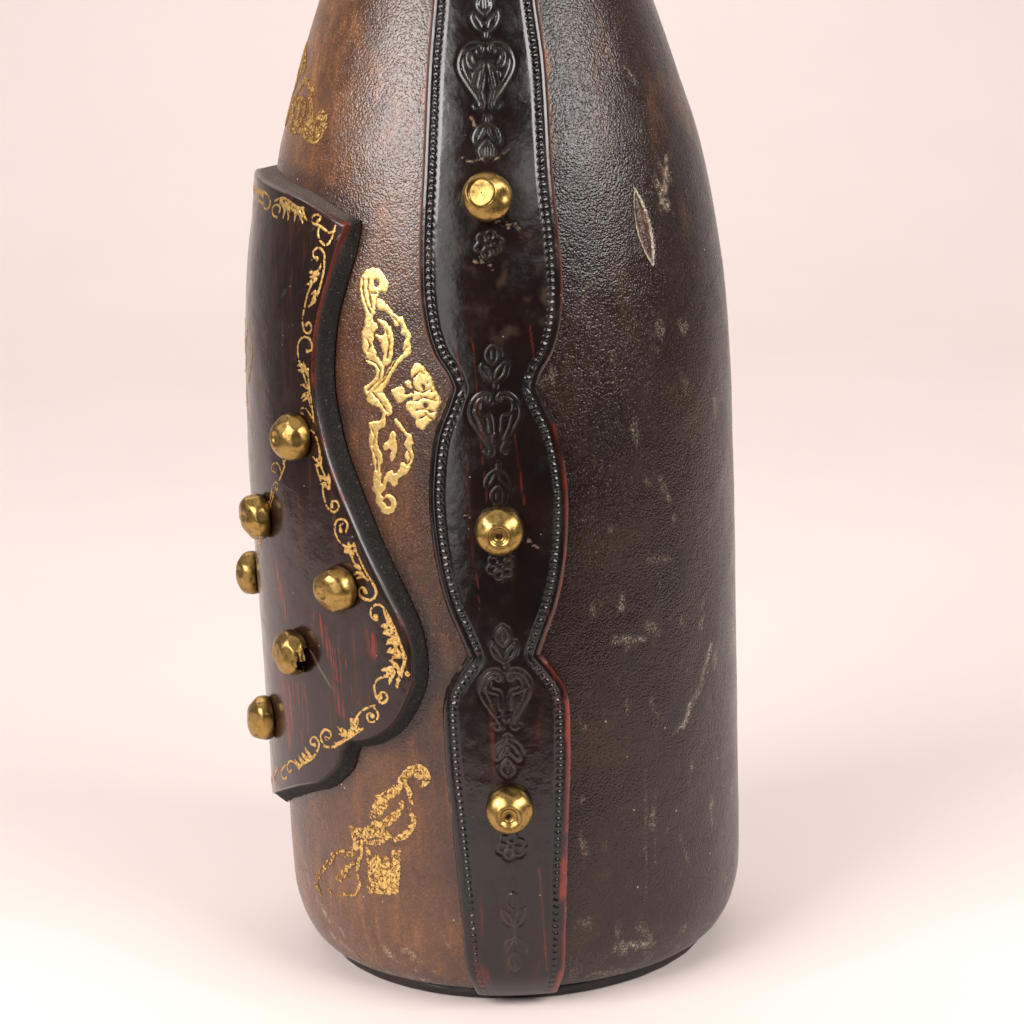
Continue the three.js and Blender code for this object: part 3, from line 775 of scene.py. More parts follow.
def back_marks(x, arc, z, p):
    rag = np.clip(0.45 + 1.2 * fbm(p, 1.3, 77), 0, 1)
    scuff, dent = 0 * x, 0 * x
    f = 46 * np.pi / 180
    for (a0, z0), (a1, z1), w0, w1, s, deep in BACK_SCARS:
        m = segment_mask(arc, z, (a0 * f, z0), (a1 * f, z1), w0, w1, 0.7)
        scuff = np.maximum(scuff, s * m * np.clip(rag + 0.15, 0, 1))
        dent = np.maximum(dent, deep * m)
    # a pointed cut, pressed in, less deeply along its middle, and skin peeled along cuts
    ax, az = 40.2 * f, 146.6
    u = ((arc - ax) * 0.16 - (z - az)) / 1.013
    w = np.abs((arc - ax) + (z - az) * 0.16) / 1.013
    lens = 1.75 * np.clip(1 - (u / 7.0) ** 2, 0, 1)
    inside = smooth(0.25, -0.15, w - lens)
    cut = 0 * x
    for a, b, w0, w1, k in (((52.6, 158.4), (50.6, 154.4), 0.55, 0.7, 0.75), ((50.8, 154.6), (47.4, 150.2), 0.7, 0.75, 0.7), ((47.6, 151.0), (46.6, 149.0), 0.5, 0.3, 0.5), ((58.6, 65.0), (55.0, 60.6), 0.5, 0.4, 0.35), ((49.0, 55.4), (46.4, 51.6), 0.5, 0.4, 0.4)):
        m = segment_mask(arc, z, (a[0] * f, a[1]), (b[0] * f, b[1]), w0, w1, 0.7)
        cut = np.maximum(cut, k * m * smooth(0.0, 0.45, 0.25 + fbm(p, 0.9, 80)))
    dent = np.maximum(dent, 0.28 * inside * (1 - 0.6 * smooth(0.6, 0.1, w)))
    scuff = np.maximum(scuff, 0.40 * smooth(0.34, 0.62, fbm(p * [1, 1, 0.55], 4, 41)) * smooth(180, 120, z))
    scuff = np.maximum(scuff, 0.40 * smooth(12, 3, z) * np.clip(0.2 + 1.2 * fbm(p, 3, 19), 0, 1))
    tan = 0.85 * segment_mask(arc, z, (14.3, 192), (14.6, 178), 0.4, 0.4) * (x > 0)
    tan = np.maximum(tan, 0.7 * segment_mask(arc, z, (14.6, 178), (13.9, 160), 0.4, 0.25))
    tan = np.maximum(tan, 0.95 * segment_mask(arc, z, (14.9, 178.5), (14.9, 174.5), 0.7, 0.5))
    tan = np.maximum(tan, 0.30 * smooth(0.1, 0.6, fbm(p * [1, 1, 0.5], 9, 35)) * smooth(120, 150, z) * smooth(20, 40, x))
    # darker blotches of the leather below the shoulder
    dark_tone_and_shade = 0.55 * smooth(-0.1, 0.5, fbm(p, 20, 29)) * smooth(185, 120, z)
    return np.clip(tan, 0, 1), np.clip(dark_tone_and_shade, 0, 0.8), np.clip(scuff, 0, 1), dent, np.clip(cut, 0, 1)


fine, coarse = 0.54, 2.4
front_phi = np.concatenate([np.arange(-179.7, -86, coarse), np.arange(-86, -0.6, fine), [-0.35]])
back_phi = np.concatenate([[0.35], np.arange(0.8, 84, fine), np.arange(84, 179.2, coarse), [179.65]])
cover("front_cover_leather", front_phi, BROWN, 3, "front_cover", "leather_brown", front_marks)
cover("back_cover_leather", back_phi, BACK, 8, "back_cover", "leather_dark", back_marks)

# ------------------------------------------------------------------ stroke drawings (mm, upright, centred)

SPRIG = [
    curve([(0, 0.2), (-1.15, 1.6), (-0.9, 2.9), (-0.05, 3.75)]),
    curve([(0.05, 0.2), (0.95, 1.5), (0.8, 2.9), (-0.05, 3.75)]),
    curve([(-0.05, 3.0), (-0.05, 1.2)]),
    curve([(0.1, -2.9), (-1.45, -1.9), (-2.2, -0.3), (-1.95, 0.45)]),
    curve([(-1.5, 0.05), (-0.75, -0.95), (-0.25, -2.1)]),
    curve([(0.1, -2.9), (1.55, -1.8), (2.2, -0.3), (2.05, 0.75)]),
    curve([(1.65, 0.3), (0.6, -0.85), (0.2, -2.2)]),
    curve([(0.1, -2.8), (0.1, -3.75)]),
]
HEART_HALF = [
    curve([(1.3, 4.5), (1.5, 4.1), (1.2, 3.75), (0.75, 3.9), (0.55, 4.5), (1.0, 5.15), (1.8, 5.35), (2.9, 5.0), (3.9, 3.9), (4.45, 2.2), (4.2, 0.6), (3.2, -1.2), (2.1, -2.9), (1.35, -4.0), (0.95, -4.8), (1.2, -5.45), (1.75, -5.5), (2.15, -5.05)]),
    curve([(1.9, 4.45), (2.8, 4.0), (3.25, 3.0), (3.0, 1.95), (2.3, 1.5), (1.45, 1.3), (1.15, 0.5), (1.05, -0.7), (0.95, -1.8)]),
    curve([(3.6, 2.2), (2.9, 0.7), (2.3, -1.2), (1.4, -3.1)]),
]
SCROLL_HALF = HEART_HALF[:1] + [
    curve([(1.9, 4.35), (2.7, 3.9), (3.1, 2.9), (2.75, 1.8), (2.1, 1.3)]),
    curve([(3.7, 3.0), (3.65, 1.4), (2.9, -0.4), (2.0, -2.1), (1.3, -3.6)]),
    curve([(0.55, 1.9), (0.75, 0.7), (1.05, -0.8), (1.35, -2.4)]),
    curve([(0.6, 1.8), (1.35, 0.9), (2.1, 0.2), (2.2, -0.9)]),
]


def both(half):
    return half + [c * [-1, 1] for c in half]


def rosette(petals=6, r=2.3):
    out = []
    for q in range(petals):
        a = 2 * np.pi * q / petals + 0.3
        e, n = np.array([np.cos(a), np.sin(a)]), np.array([-np.sin(a), np.cos(a)])
        out.append(curve([e * 0.7 - n * 0.3, e * 1.4 - n * 0.85, e * r - n * 0.35, e * r + n * 0.35, e * 1.4 + n * 0.85, e * 0.7 + n * 0.3]))
    t = np.linspace(0, 2 * np.pi, 15)
    out.append(np.stack([0.65 * np.cos(t), 0.65 * np.sin(t)], -1))
    return out


STRAP_MOTIFS = (
    [(SPRIG, z, 1) for z in (184.3, 124.0, 72.8, 21.9)]
    + [(SPRIG, z, -1) for z in (163.0, 102.8, 51.9, 14.0)]
    + [(both(SCROLL_HALF), 174.0, 1.04), (both(HEART_HALF), 114.0, 1), (both(HEART_HALF), 62.8, 1)]
    + [(rosette(), z, 1) for z in (145.1, 87.9, 34.8)]
    + [(rosette(6, 2.0), 201.0, 1), (SPRIG, 213.0, 0.85), (both(HEART_HALF), 224.5, 0.72), (SPRIG, 235.5, -0.8), (rosette(6, 1.9), 246.5, 0.95)]
)

# ------------------------------------------------------------------ straps

HALF = [
    [(0, 7.4), (3, 8.0), (6, 8.7), (10, 9.4), (24.6, 10.2), (38.7, 11.0), (52.4, 11.8), (59.4, 11.9), (64, 11.2), (68, 8.9), (71, 6.7)],
    [(71, 6.7), (74.5, 8.0), (79.8, 10.1), (86.4, 11.7), (93, 12.5), (99.5, 12.8), (106, 12.3), (112.6, 11.0), (117, 9.1), (120.2, 7.85)],
    [(120.2, 7.85), (122, 8.5), (126, 10.9), (132, 12.5), (138, 13.0), (144, 12.8), (157, 11.8), (175, 10.9), (188, 9.5), (210, 7.7), (235, 6.2), (275, 5.6)],
]
HALF_F = [pchip(h) for h in HALF]


def half_width(z):
    return np.where(z < 71, HALF_F[0](z), np.where(z < 120.2, HALF_F[1](z), HALF_F[2](z)))


STRAP_H = 2.42


def strap(name, node, turn, seed):
    zs = np.concatenate([np.arange(3.0, 190, 0.22), np.arange(190, 257.2, 0.6), [257.4]])
    rim = np.concatenate([[0, 0.08, 0.22, 0.42, 0.7, 1.0, 1.25], np.arange(1.4, 3.05, 0.15)])
    w = half_width(zs)
    mid = np.linspace(0, 1, 64)[1:-1]
    d0 = np.concatenate([np.broadcast_to(rim, (len(zs), len(rim))), rim[-1] + (2 * w - 2 * rim[-1])[:, None] * mid, (2 * w)[:, None] - rim[::-1]], 1)
    s = d0 - w[:, None]
    z = zs[:, None] + 0 * s
    length = np.concatenate([[0], np.cumsum(np.hypot(np.diff(zs), np.diff(w)))])
    dist, along = [], []
    for side in (-1, 1):
        best, t = np.full(s.shape, 99.0), np.zeros(s.shape)
        for sh in range(-18, 19):
            q = np.clip(np.arange(len(zs)) + sh, 0, len(zs) - 1)
            e = np.hypot(s - side * w[q][:, None], (zs - zs[q])[:, None])
            near = e < best
            best = np.where(near, e, best)
            t = np.where(near, length[q][:, None], t)
        dist.append(best)
        along.append(t)
    d = np.minimum(np.minimum(*dist), np.minimum((z - zs[0]) * 1.3 + 0.05, zs[-1] - z + 0.05))
    lip = 1.15
    top = -(lip - np.sqrt(np.maximum(lip**2 - np.maximum(lip - d, 0) ** 2, 0))) * 0.95
    groove, channel = np.zeros_like(s), np.zeros_like(s)
    for dd, t in zip(dist, along):
        a = ((t / 1.31) % 1 - 0.5) * 1.31
        rho = np.hypot(dd - 2.3, a)
        edge = smooth(0, 6, z - zs[0]) * smooth(0, 2, zs[-1] - z)
        chan = edge * np.exp(-(((dd - 2.3) / 0.72) ** 4))
        dome = edge * np.sqrt(np.clip(1 - (rho / 0.58) ** 2, 0, 1))
        groove += 0.24 * chan - 0.30 * dome
        channel = np.maximum(channel, chan * (1 - smooth(0.1, 0.5, dome)))
    line = np.full(s.shape, 9.0)
    for strokes, zc, size in STRAP_MOTIFS:
        k = abs(size)
        rows = np.nonzero(np.abs(zs - zc) < 7.2 * k)[0]
        blk = slice(rows[0], rows[-1] + 1)
        sx, sz = s[blk] / k, (z[blk] - zc) / size
        best = np.full(sx.shape, 9.0)
        for c in strokes:
            for a, b in zip(c[:-1], c[1:]):
                e = b - a
                u = np.clip(((sx - a[0]) * e[0] + (sz - a[1]) * e[1]) / max(e @ e, 1e-9), 0, 1)
                best = np.minimum(best, np.hypot(sx - a[0] - u * e[0], sz - a[1] - u * e[1]))
        line[blk] = np.minimum(line[blk], best * k)
    ridge = np.exp(-((line / 0.23) ** 2))
    pressed = smooth(1.0, 0.25, line)
    p = np.stack([np.full(s.shape, 46.0 + seed), s, z], -1)
    h = STRAP_H + top - 0.10 + 0.10 * (1 - (s / w[:, None]) ** 2) - groove - 0.15 * pressed + 0.23 * ridge
    h += 0.07 * fbm(p, 15, seed) + 0.015 * fbm(p, 3, seed + 5)
    h -= 0.95 * smooth(7, 0, z - zs[0])
    h = np.minimum(h, STRAP_H + 0.05)
    red = np.zeros_like(s)
    rag = fbm(p * [1, 1, 0.25], 2.4, seed + 9)
    band = smooth(1.5, 0.3, dist[1] + 0.5 * rag) * smooth(0.0, 0.5, rag + 0.5 * (smooth(88, 96, z) * smooth(118, 108, z) + smooth(70, 56, z)) - 0.15)
    red = np.maximum(red, 0.85 * band)
    for z0, z1, wd in ((2.5, 10, 1.5), (23, 32, 1.5), (36, 38.5, 0.9), (49, 62, 1.0)):
        red = np.maximum(red, 0.95 * smooth(wd + 0.3, wd - 0.3, dist[1] + 0.6 * rag) * smooth(z0 - 1, z0 + 1, z + 2 * rag) * smooth(z1 + 1, z1 - 1, z + 2 * rag))
    red = np.maximum(red, 0.6 * smooth(0.9, 0.1, dist[0] + 0.3 * rag) * smooth(0.0, 0.5, rag + 0.6 * smooth(150, 175, z) - 0.15))
    for a, b, wd in (
        ((-3.6, 132), (-2.6, 112), 0.20), ((-2.8, 112), (-1.9, 99), 0.15), ((3.2, 112), (4.6, 99), 0.22), ((6.6, 131), (7.2, 125), 0.25),
        ((-7.3, 131), (-5.5, 122), 0.22), ((8.2, 80), (9.2, 60), 0.25), ((5.0, 30), (5.8, 10), 0.25), ((-4.5, 92), (-4.0, 80), 0.12),
    ):
        red = np.maximum(red, 0.52 * segment_mask(s, z, a, b, wd * 0.55, wd * 0.55, 0.6) * np.clip(0.75 + fbm(p * [1, 1, 0.3], 2.0, seed + 17), 0, 1))
    red = np.maximum(red, 0.35 * smooth(0.35, 0.7, fbm(p * [1, 1, 0.06], 2.2, seed + 21)) * smooth(120, 90, z))
    red = np.maximum(red, 0.5 * smooth(0.15, 0.5, fbm(p * [1, 1, 0.2], 3, seed + 31)) * smooth(30, 5, z))
    red = np.maximum(red, 0.85 * smooth(0.85, 0.2, dist[0]) * smooth(116, 128, z) * np.clip(0.7 + 0.8 * fbm(p * [1, 1, 0.2], 4, seed + 33), 0.25, 1))
    red = np.maximum(red, 0.8 * smooth(1.0, 0.2, dist[1]) * np.clip(0.1 + 1.6 * fbm(p * [1, 1, 0.12], 4, seed + 35) + 0.5 * smooth(118, 100, z), 0, 1))
    # painted shade in the bead channels and in the pressed ground round the stamped lines
    cavity_shade = 0.75 * channel + 0.35 * pressed * (1 - ridge)
    # rubbed edges are paler; the faint pale along the motif ridges is a painted highlight
    pale_wear_and_sheen = 0.5 * smooth(0.5, 0.1, d) * smooth(0.1, 0.5, fbm(p, 2, seed + 41)) + 0.10 * ridge * np.clip(0.5 + fbm(p, 2.5, seed + 45), 0, 1)
    pale_wear_and_sheen = np.maximum(pale_wear_and_sheen, 0.34 * smooth(0.85, 0.2, dist[0]) * smooth(116, 128, z) + 0.30 * smooth(0.6, 0.1, dist[1]) * smooth(120, 128, z))
    pale_wear_and_sheen = np.maximum(pale_wear_and_sheen, 0.10 * smooth(0.15, 0.6, fbm(p, 4, seed + 51)) * smooth(124, 132, z) * smooth(160, 150, z))
    rag = np.clip(0.4 + 1.4 * fbm(p, 1.0, seed + 43), 0, 1)
    for line in (
        [(-4.2, 160.2), (-2.6, 159.2), (-1.0, 159.9), (0.8, 159.2), (2.6, 160.4), (4.4, 161.4)], [(-0.6, 149.6), (1.2, 149.2), (2.6, 148.2), (4.4, 148.6), (5.6, 147.6)],
        [(1.8, 151.4), (3.0, 149.4), (3.6, 147.8)], [(-3.4, 143.0), (-2.0, 141.8), (-0.6, 142.4), (0.4, 140.8)], [(-1.6, 144.0), (-1.2, 141.8)], [(-6.2, 97.6), (-4.4, 96.4)],
        [(5.0, 92.6), (7.2, 90.6)], [(-2.8, 166.8), (-2.0, 165.2)],
    ):
        for a, b in zip(line[:-1], line[1:]):
            wob = 0.28 * noise(p, 0.8, seed + 47)
            m = segment_mask(s + wob, z + wob, a, b, 0.14, 0.11, 0.7)
            pale_wear_and_sheen = np.maximum(pale_wear_and_sheen, 0.9 * m * smooth(0.35, 0.65, rag))
            h -= 0.04 * m

    foot = np.zeros((len(zs), 1)) + 0.03
    h = np.maximum(h, 0.25)
    hh = np.concatenate([foot, h, foot], 1)
    ss = np.concatenate([s[:, :1] - 0.10, s, s[:, -1:] + 0.10], 1)
    zz = np.concatenate([z[:, :1], z, z[:, -1:]], 1)
    phi = (ss + 0.55 * smooth(150, 180, zz)) / (BODY(zz) + 1.5)
    outer = on_body(phi + turn, zz, hh)
    inner = on_body(phi + turn, zz, 0 * hh + 0.0)
    verts, *faces = skin(outer, inner, spaced(zs, 1.4), spaced(ss[len(zs) // 2], 1.4))

    def wide(a):
        return np.concatenate([a[:, :1], a, a[:, -1:]], 1).ravel()

    attrs = {"red": wide(np.clip(red, 0, 1)), "cavity_shade": wide(np.clip(cavity_shade, 0, 1)), "pale_wear_and_sheen": wide(np.clip(pale_wear_and_sheen, 0, 1)), "dusty": wide(0 * s)}
    return build(name, [(0, (verts, faces))], [STRAP], "bottle", node, attrs, 60)


strap("right_strap_tooled", "right_strap", 0.0, 11)
strap("left_strap_tooled", "left_strap", math.pi, 57)

# ------------------------------------------------------------------ shield

SHIELD_STREAKS = [
    ((26.3, 84.7), (27.8, 78.6), 0.28), ((27.8, 78.6), (29.9, 72.8), 0.28), ((26.2, 71.3), (27.0, 67.0), 0.22), ((25.3, 61.1), (26.4, 48.9), 0.28), ((27.4, 61.0), (29.1, 49.6), 0.26),
    ((29.7, 61.6), (31.3, 50.7), 0.24), ((31.6, 61.2), (33.6, 52.4), 0.24), ((33.5, 62.4), (34.6, 54.2), 0.20), ((39.5, 76.7), (41.5, 71.0), 0.22), ((40.4, 75.9), (42.3, 69.2), 0.22),
    ((42.8, 70.4), (43.6, 65.2), 0.20), ((45.3, 70.3), (46.3, 67.1), 0.18), ((42.8, 63.6), (44.6, 57.8), 0.22), ((46.9, 63.8), (47.5, 61.7), 0.15), ((17.7, 47.8), (20.3, 43.4), 0.25),
    ((52.3, 74.6), (53.3, 69.9), 0.18), ((-15, 90), (-20, 68), 0.3), ((-28, 66), (-32, 50), 0.3), ((-8, 64), (-10, 50), 0.28),
]


def shield_piece():
    centre = np.array([0.0, 96.0])
    rel = EDGE - centre
    step = np.concatenate([[0], np.cumsum(np.hypot(*np.diff(np.vstack([EDGE, EDGE[:1]]), axis=0).T))])
    n = int(step[-1] / 0.45)
    t = np.linspace(0, step[-1], n, endpoint=False)
    loop = np.vstack([EDGE, EDGE[:1]])
    rim = np.stack([np.interp(t, step, loop[:, 0]), np.interp(t, step, loop[:, 1])], -1) - centre
    rho = np.hypot(*rim.T)
    u = rim / rho[:, None]
    inner = 1 - np.concatenate([np.array([0.0, 0.05, 0.13, 0.25, 0.42, 0.7, 1.1, 1.6, 2.3, 3.2]) / 44, np.linspace(0.10, 0.985, 34)])
    reach = np.linspace(0, 7, 29)
    ox = centre[0] + u[:, 0, None] * (rho[:, None] + reach)
    oz = centre[1] + u[:, 1, None] * (rho[:, None] + reach)
    out_d = -signed(ox, oz)
    want = 1.9 - 1.25 * smooth(140, 150, centre[1] + rim[:, 1])
    foot = np.array([np.interp(w, np.maximum.accumulate(row), reach) for w, row in zip(want, out_d)])
    foot = (np.roll(foot, 1) + foot + np.roll(foot, -1)) / 3
    rings = [centre + u * (rho * q)[:, None] for q in inner[::-1]]
    for q in (0.12, 0.3, 0.5, 0.7, 0.88, 1.0):
        rings.append(centre + u * (rho + foot * q)[:, None])
    g = np.stack(rings, 0)
    s, z = g[..., 0], g[..., 1]
    d = signed(s, z)
    face = FACE(z)
    ground = BODY(z) + 0.25
    p = on_shield(s, z, face)
    lip = 0.40
    r = face - 1.0 * (lip - np.sqrt(np.maximum(lip**2 - np.maximum(lip - np.maximum(d, 0), 0) ** 2, 0)))
    q = np.clip(-d / (1.9 - 1.25 * smooth(140, 150, z)), 0, 1)
    wall = face - 0.40 - (face - 0.40 - ground - 0.2) * (0.65 * q + 0.35 * q**0.5)
    r = np.where(d < 0, wall, r)
    r += np.where(d > 1.0, 0.10 * fbm(p, 20, 71) + 0.03 * fbm(p, 4, 72), 0) * smooth(1, 3, d)
    r += np.where(d < -0.25, 0.22 * fbm(p, 1.6, 73) + 0.12 * noise(p, 0.6, 74), 0)
    fol = np.maximum(segment_mask(s, z, (37.0, 69.0), (40.2, 65.0), 0.16, 0.14, 0.5), segment_mask(s, z, (40.2, 65.0), (43.3, 61.9), 0.14, 0.10, 0.5))
    r -= 0.05 * fol
    r[-1] = ground[-1]
    r = np.maximum(r, ground)
    back = np.maximum(BODY(z) + 0.22, 0)
    top = on_shield(s, z, r)
    bot = on_shield(s, z, np.minimum(back, r - 0.02))
    verts, faces = shell(top, bot, wrap=True)
    m = g.shape[1]
    # both ends of the small hole left at the centre
    k = g.shape[0] * m
    c0 = on_shield(np.array(0.0), np.array(96.0), FACE(96.0))
    c1 = on_shield(np.array(0.0), np.array(96.0), BODY(96.0) + 0.22)
    verts = np.vstack([verts, c0, c1])
    i = np.arange(m)
    j = (i + 1) % m
    cap0 = np.stack([np.full(m, len(verts) - 2), j, i], -1)
    cap1 = np.stack([np.full(m, len(verts) - 1), k + i, k + j], -1)
    ring0 = np.isin(faces, i).sum(1) == 2
    ring1 = np.isin(faces, k + i).sum(1) == 2
    faces = faces[~(ring0 & ring1)]
    rag = fbm(p * [1, 1, 0.3], 2.0, 81)
    red = 0.75 * smooth(0.28, 0.06, np.abs(d - 0.05) - 0.35 * smooth(143, 149, z) * smooth(0.05, 0.3, rag)) * smooth(-0.1, 0.3, rag + 0.5 * smooth(40, 50, np.degrees(np.abs(s) / RS)) * smooth(108, 120, z) - 0.25 * smooth(100, 80, z) - 0.05)
    streak = 0.45 * smooth(0.30, 0.62, fbm(np.stack([s + z * 0.1, z * 0.05, 0 * s], -1), 3.0, 83)) * smooth(95, 60, z) * (d > 2)
    for a, b, wd in SHIELD_STREAKS:
        streak = np.maximum(streak, segment_mask(s, z, a, b, wd * 3.2, wd * 3.2, 0.8))
    edge_top = smooth(140, 149, z) * smooth(57, 54, np.degrees(np.abs(s) / RS))
    red = red * (1 - 0.85 * edge_top)
    dusty = smooth(0.05, -0.25, d) * (0.13 + 0.72 * edge_top)
    dusty = np.maximum(dusty, 0.35 * smooth(0.2, 0.6, fbm(p, 1.8, 85)) * smooth(115, 135, z) * smooth(30, 42, np.degrees(np.abs(s) / RS)))
    # painted sheen: pale vertical streaks and a pale wash towards the middle of the shield; the scored line is pale
    # wear
    pale_wear_and_sheen = 0.38 * fol + 0.3 * smooth(0.35, 0.6, fbm(np.stack([s, z * 0.05, 0 * s], -1), 0.9, 87)) * smooth(38, 20, np.degrees(np.abs(s) / RS))
    pale_wear_and_sheen = np.maximum(pale_wear_and_sheen, 0.15 * smooth(26, 8, np.degrees(np.abs(s) / RS)) * (d > 0))
    # painted shade down the wall and at its foot, less on the upward-facing top edge
    cavity_shade = np.maximum(smooth(-1.2, -1.9, d) * 0.8, smooth(-0.1, -0.5, d) * 0.78 * (1 - edge_top))

    def flatten(a):
        return np.clip(a, 0, 1).ravel()

    attrs = {"red": flatten(red), "streak": flatten(streak), "raw": flatten(smooth(-0.02, -0.3, d) * (1 - 0.8 * edge_top)), "dusty": flatten(dusty), "pale_wear_and_sheen": flatten(pale_wear_and_sheen), "cavity_shade": flatten(cavity_shade)}
    return build("front_shield_leather", [(0, (verts, [faces, cap0, cap1]))], [SHIELD], "bottle", "front_shield", attrs, 50)


shield_piece()

# ------------------------------------------------------------------ gilt: thin leaf left by a heated stamp


def capsules(xs, ys, segs, reach=1.6):
    """Distance outside tapered strokes on a regular grid, negative inside them."""
    out = np.full((len(ys), len(xs)), 9.0)
    dx, dy = xs[1] - xs[0], ys[1] - ys[0]
    for line in segs:
        for a, b in zip(line[:-1], line[1:]):
            m = max(a[2], b[2]) + reach
            i0 = max(0, int((min(a[0], b[0]) - m - xs[0]) / dx)); i1 = min(len(xs), int((max(a[0], b[0]) + m - xs[0]) / dx) + 2)
            j0 = max(0, int((min(a[1], b[1]) - m - ys[0]) / dy)); j1 = min(len(ys), int((max(a[1], b[1]) + m - ys[0]) / dy) + 2)
            if i0 >= i1 or j0 >= j1:
                continue
            X, Y = xs[None, i0:i1], ys[j0:j1, None]
            ex, ey = b[0] - a[0], b[1] - a[1]
            t = np.clip(((X - a[0]) * ex + (Y - a[1]) * ey) / max(ex * ex + ey * ey, 1e-9), 0, 1)
            e = np.hypot(X - a[0] - t * ex, Y - a[1] - t * ey) - (a[2] + (b[2] - a[2]) * t)
            out[j0:j1, i0:i1] = np.minimum(out[j0:j1, i0:i1], e)
    return out


def trace(field, xs, ys):
    """The region where field is above zero as points, triangles and directed border edges."""
    ny, nx = field.shape
    ins = field > 0
    code = ins[:-1, :-1] * 1 + ins[:-1, 1:] * 2 + ins[1:, 1:] * 4 + ins[1:, :-1] * 8
    gid = np.arange(nx * ny).reshape(ny, nx)
    hid = nx * ny + np.arange(ny * (nx - 1)).reshape(ny, nx - 1)
    vid = nx * ny + ny * (nx - 1) + np.arange((ny - 1) * nx).reshape(ny - 1, nx)
    X, Y = np.meshgrid(xs, ys)
    f = np.where(np.abs(field) < 1e-6, 1e-6, field)
    with np.errstate(divide="ignore", invalid="ignore"):
        th = np.clip(f[:, :-1] / (f[:, :-1] - f[:, 1:]), 0.04, 0.96)
        tv = np.clip(f[:-1] / (f[:-1] - f[1:]), 0.04, 0.96)
    th, tv = np.nan_to_num(th, nan=0.5), np.nan_to_num(tv, nan=0.5)
    px = np.concatenate([X.ravel(), (X[:, :-1] + th * (X[:, 1:] - X[:, :-1])).ravel(), X[:-1].ravel()])
    py = np.concatenate([Y.ravel(), Y[:, :-1].ravel(), (Y[:-1] + tv * (Y[1:] - Y[:-1])).ravel()])
    pf = np.concatenate([f.ravel(), np.zeros(hid.size + vid.size)])
    tris, edges = [], []
    for c in range(1, 16):
        J, I = np.nonzero(code == c)
        if not len(J):
            continue
        corner = [gid[J, I], gid[J, I + 1], gid[J + 1, I + 1], gid[J + 1, I]]
        side = [hid[J, I], vid[J, I + 1], hid[J + 1, I], vid[J, I]]
        poly, kind = [], []
        for q in range(4):
            a, b = (c >> q) & 1, (c >> ((q + 1) % 4)) & 1
            if a:
                poly.append(corner[q]); kind.append(0)
            if a != b:
                poly.append(side[q]); kind.append(1 if a else 2)
        m = len(poly)
        for q in range(1, m - 1):
            tris.append(np.stack([poly[0], poly[q], poly[q + 1]], -1))
        for q in range(m):
            if kind[q] == 1 and kind[(q + 1) % m] == 2:
                edges.append(np.stack([poly[q], poly[(q + 1) % m]], -1))
    tris, edges = np.vstack(tris), np.vstack(edges)
    used, inv = np.unique(tris, return_inverse=True)
    tris = inv.reshape(tris.shape)
    edges = np.searchsorted(used, edges)
    return np.stack([px[used], py[used]], -1), pf[used], tris, edges


def leaf(name, field, xs, ys, place, rise=0.09, shade=None):
    """Gold leaf over the region field > 0, a thin closed skin whose middle stands a little higher; place maps (x, y, height) to space."""
    pts, f, tris, edges = trace(field, xs, ys)
    h = 0.035 + rise * smooth(0, 0.35, f) + 0.02 * (noise(flat(pts[:, 0], pts[:, 1]), 0.5, 7) + 1) * smooth(0, 0.2, f)
    grime = 0.55 * (1 - smooth(0.0, 0.16, f))
    if shade is not None:
        vein = shade(pts)
        grime, h = np.maximum(grime, vein), h - 0.04 * vein
    top = place(pts[:, 0], pts[:, 1], h)
    bot = place(pts[:, 0], pts[:, 1], np.full(len(h), -0.16))
    n = len(pts)
    wall = np.stack([edges[:, 1], edges[:, 0], edges[:, 0] + n, edges[:, 1] + n], -1)
    parts = [(0, (np.vstack([top, bot]), [tris, tris[:, ::-1] + n, wall]))]
    grime = np.concatenate([grime, np.ones(n)])
    return build(name, parts, [GILT], "bottle", None, {"grime": grime}, 70)


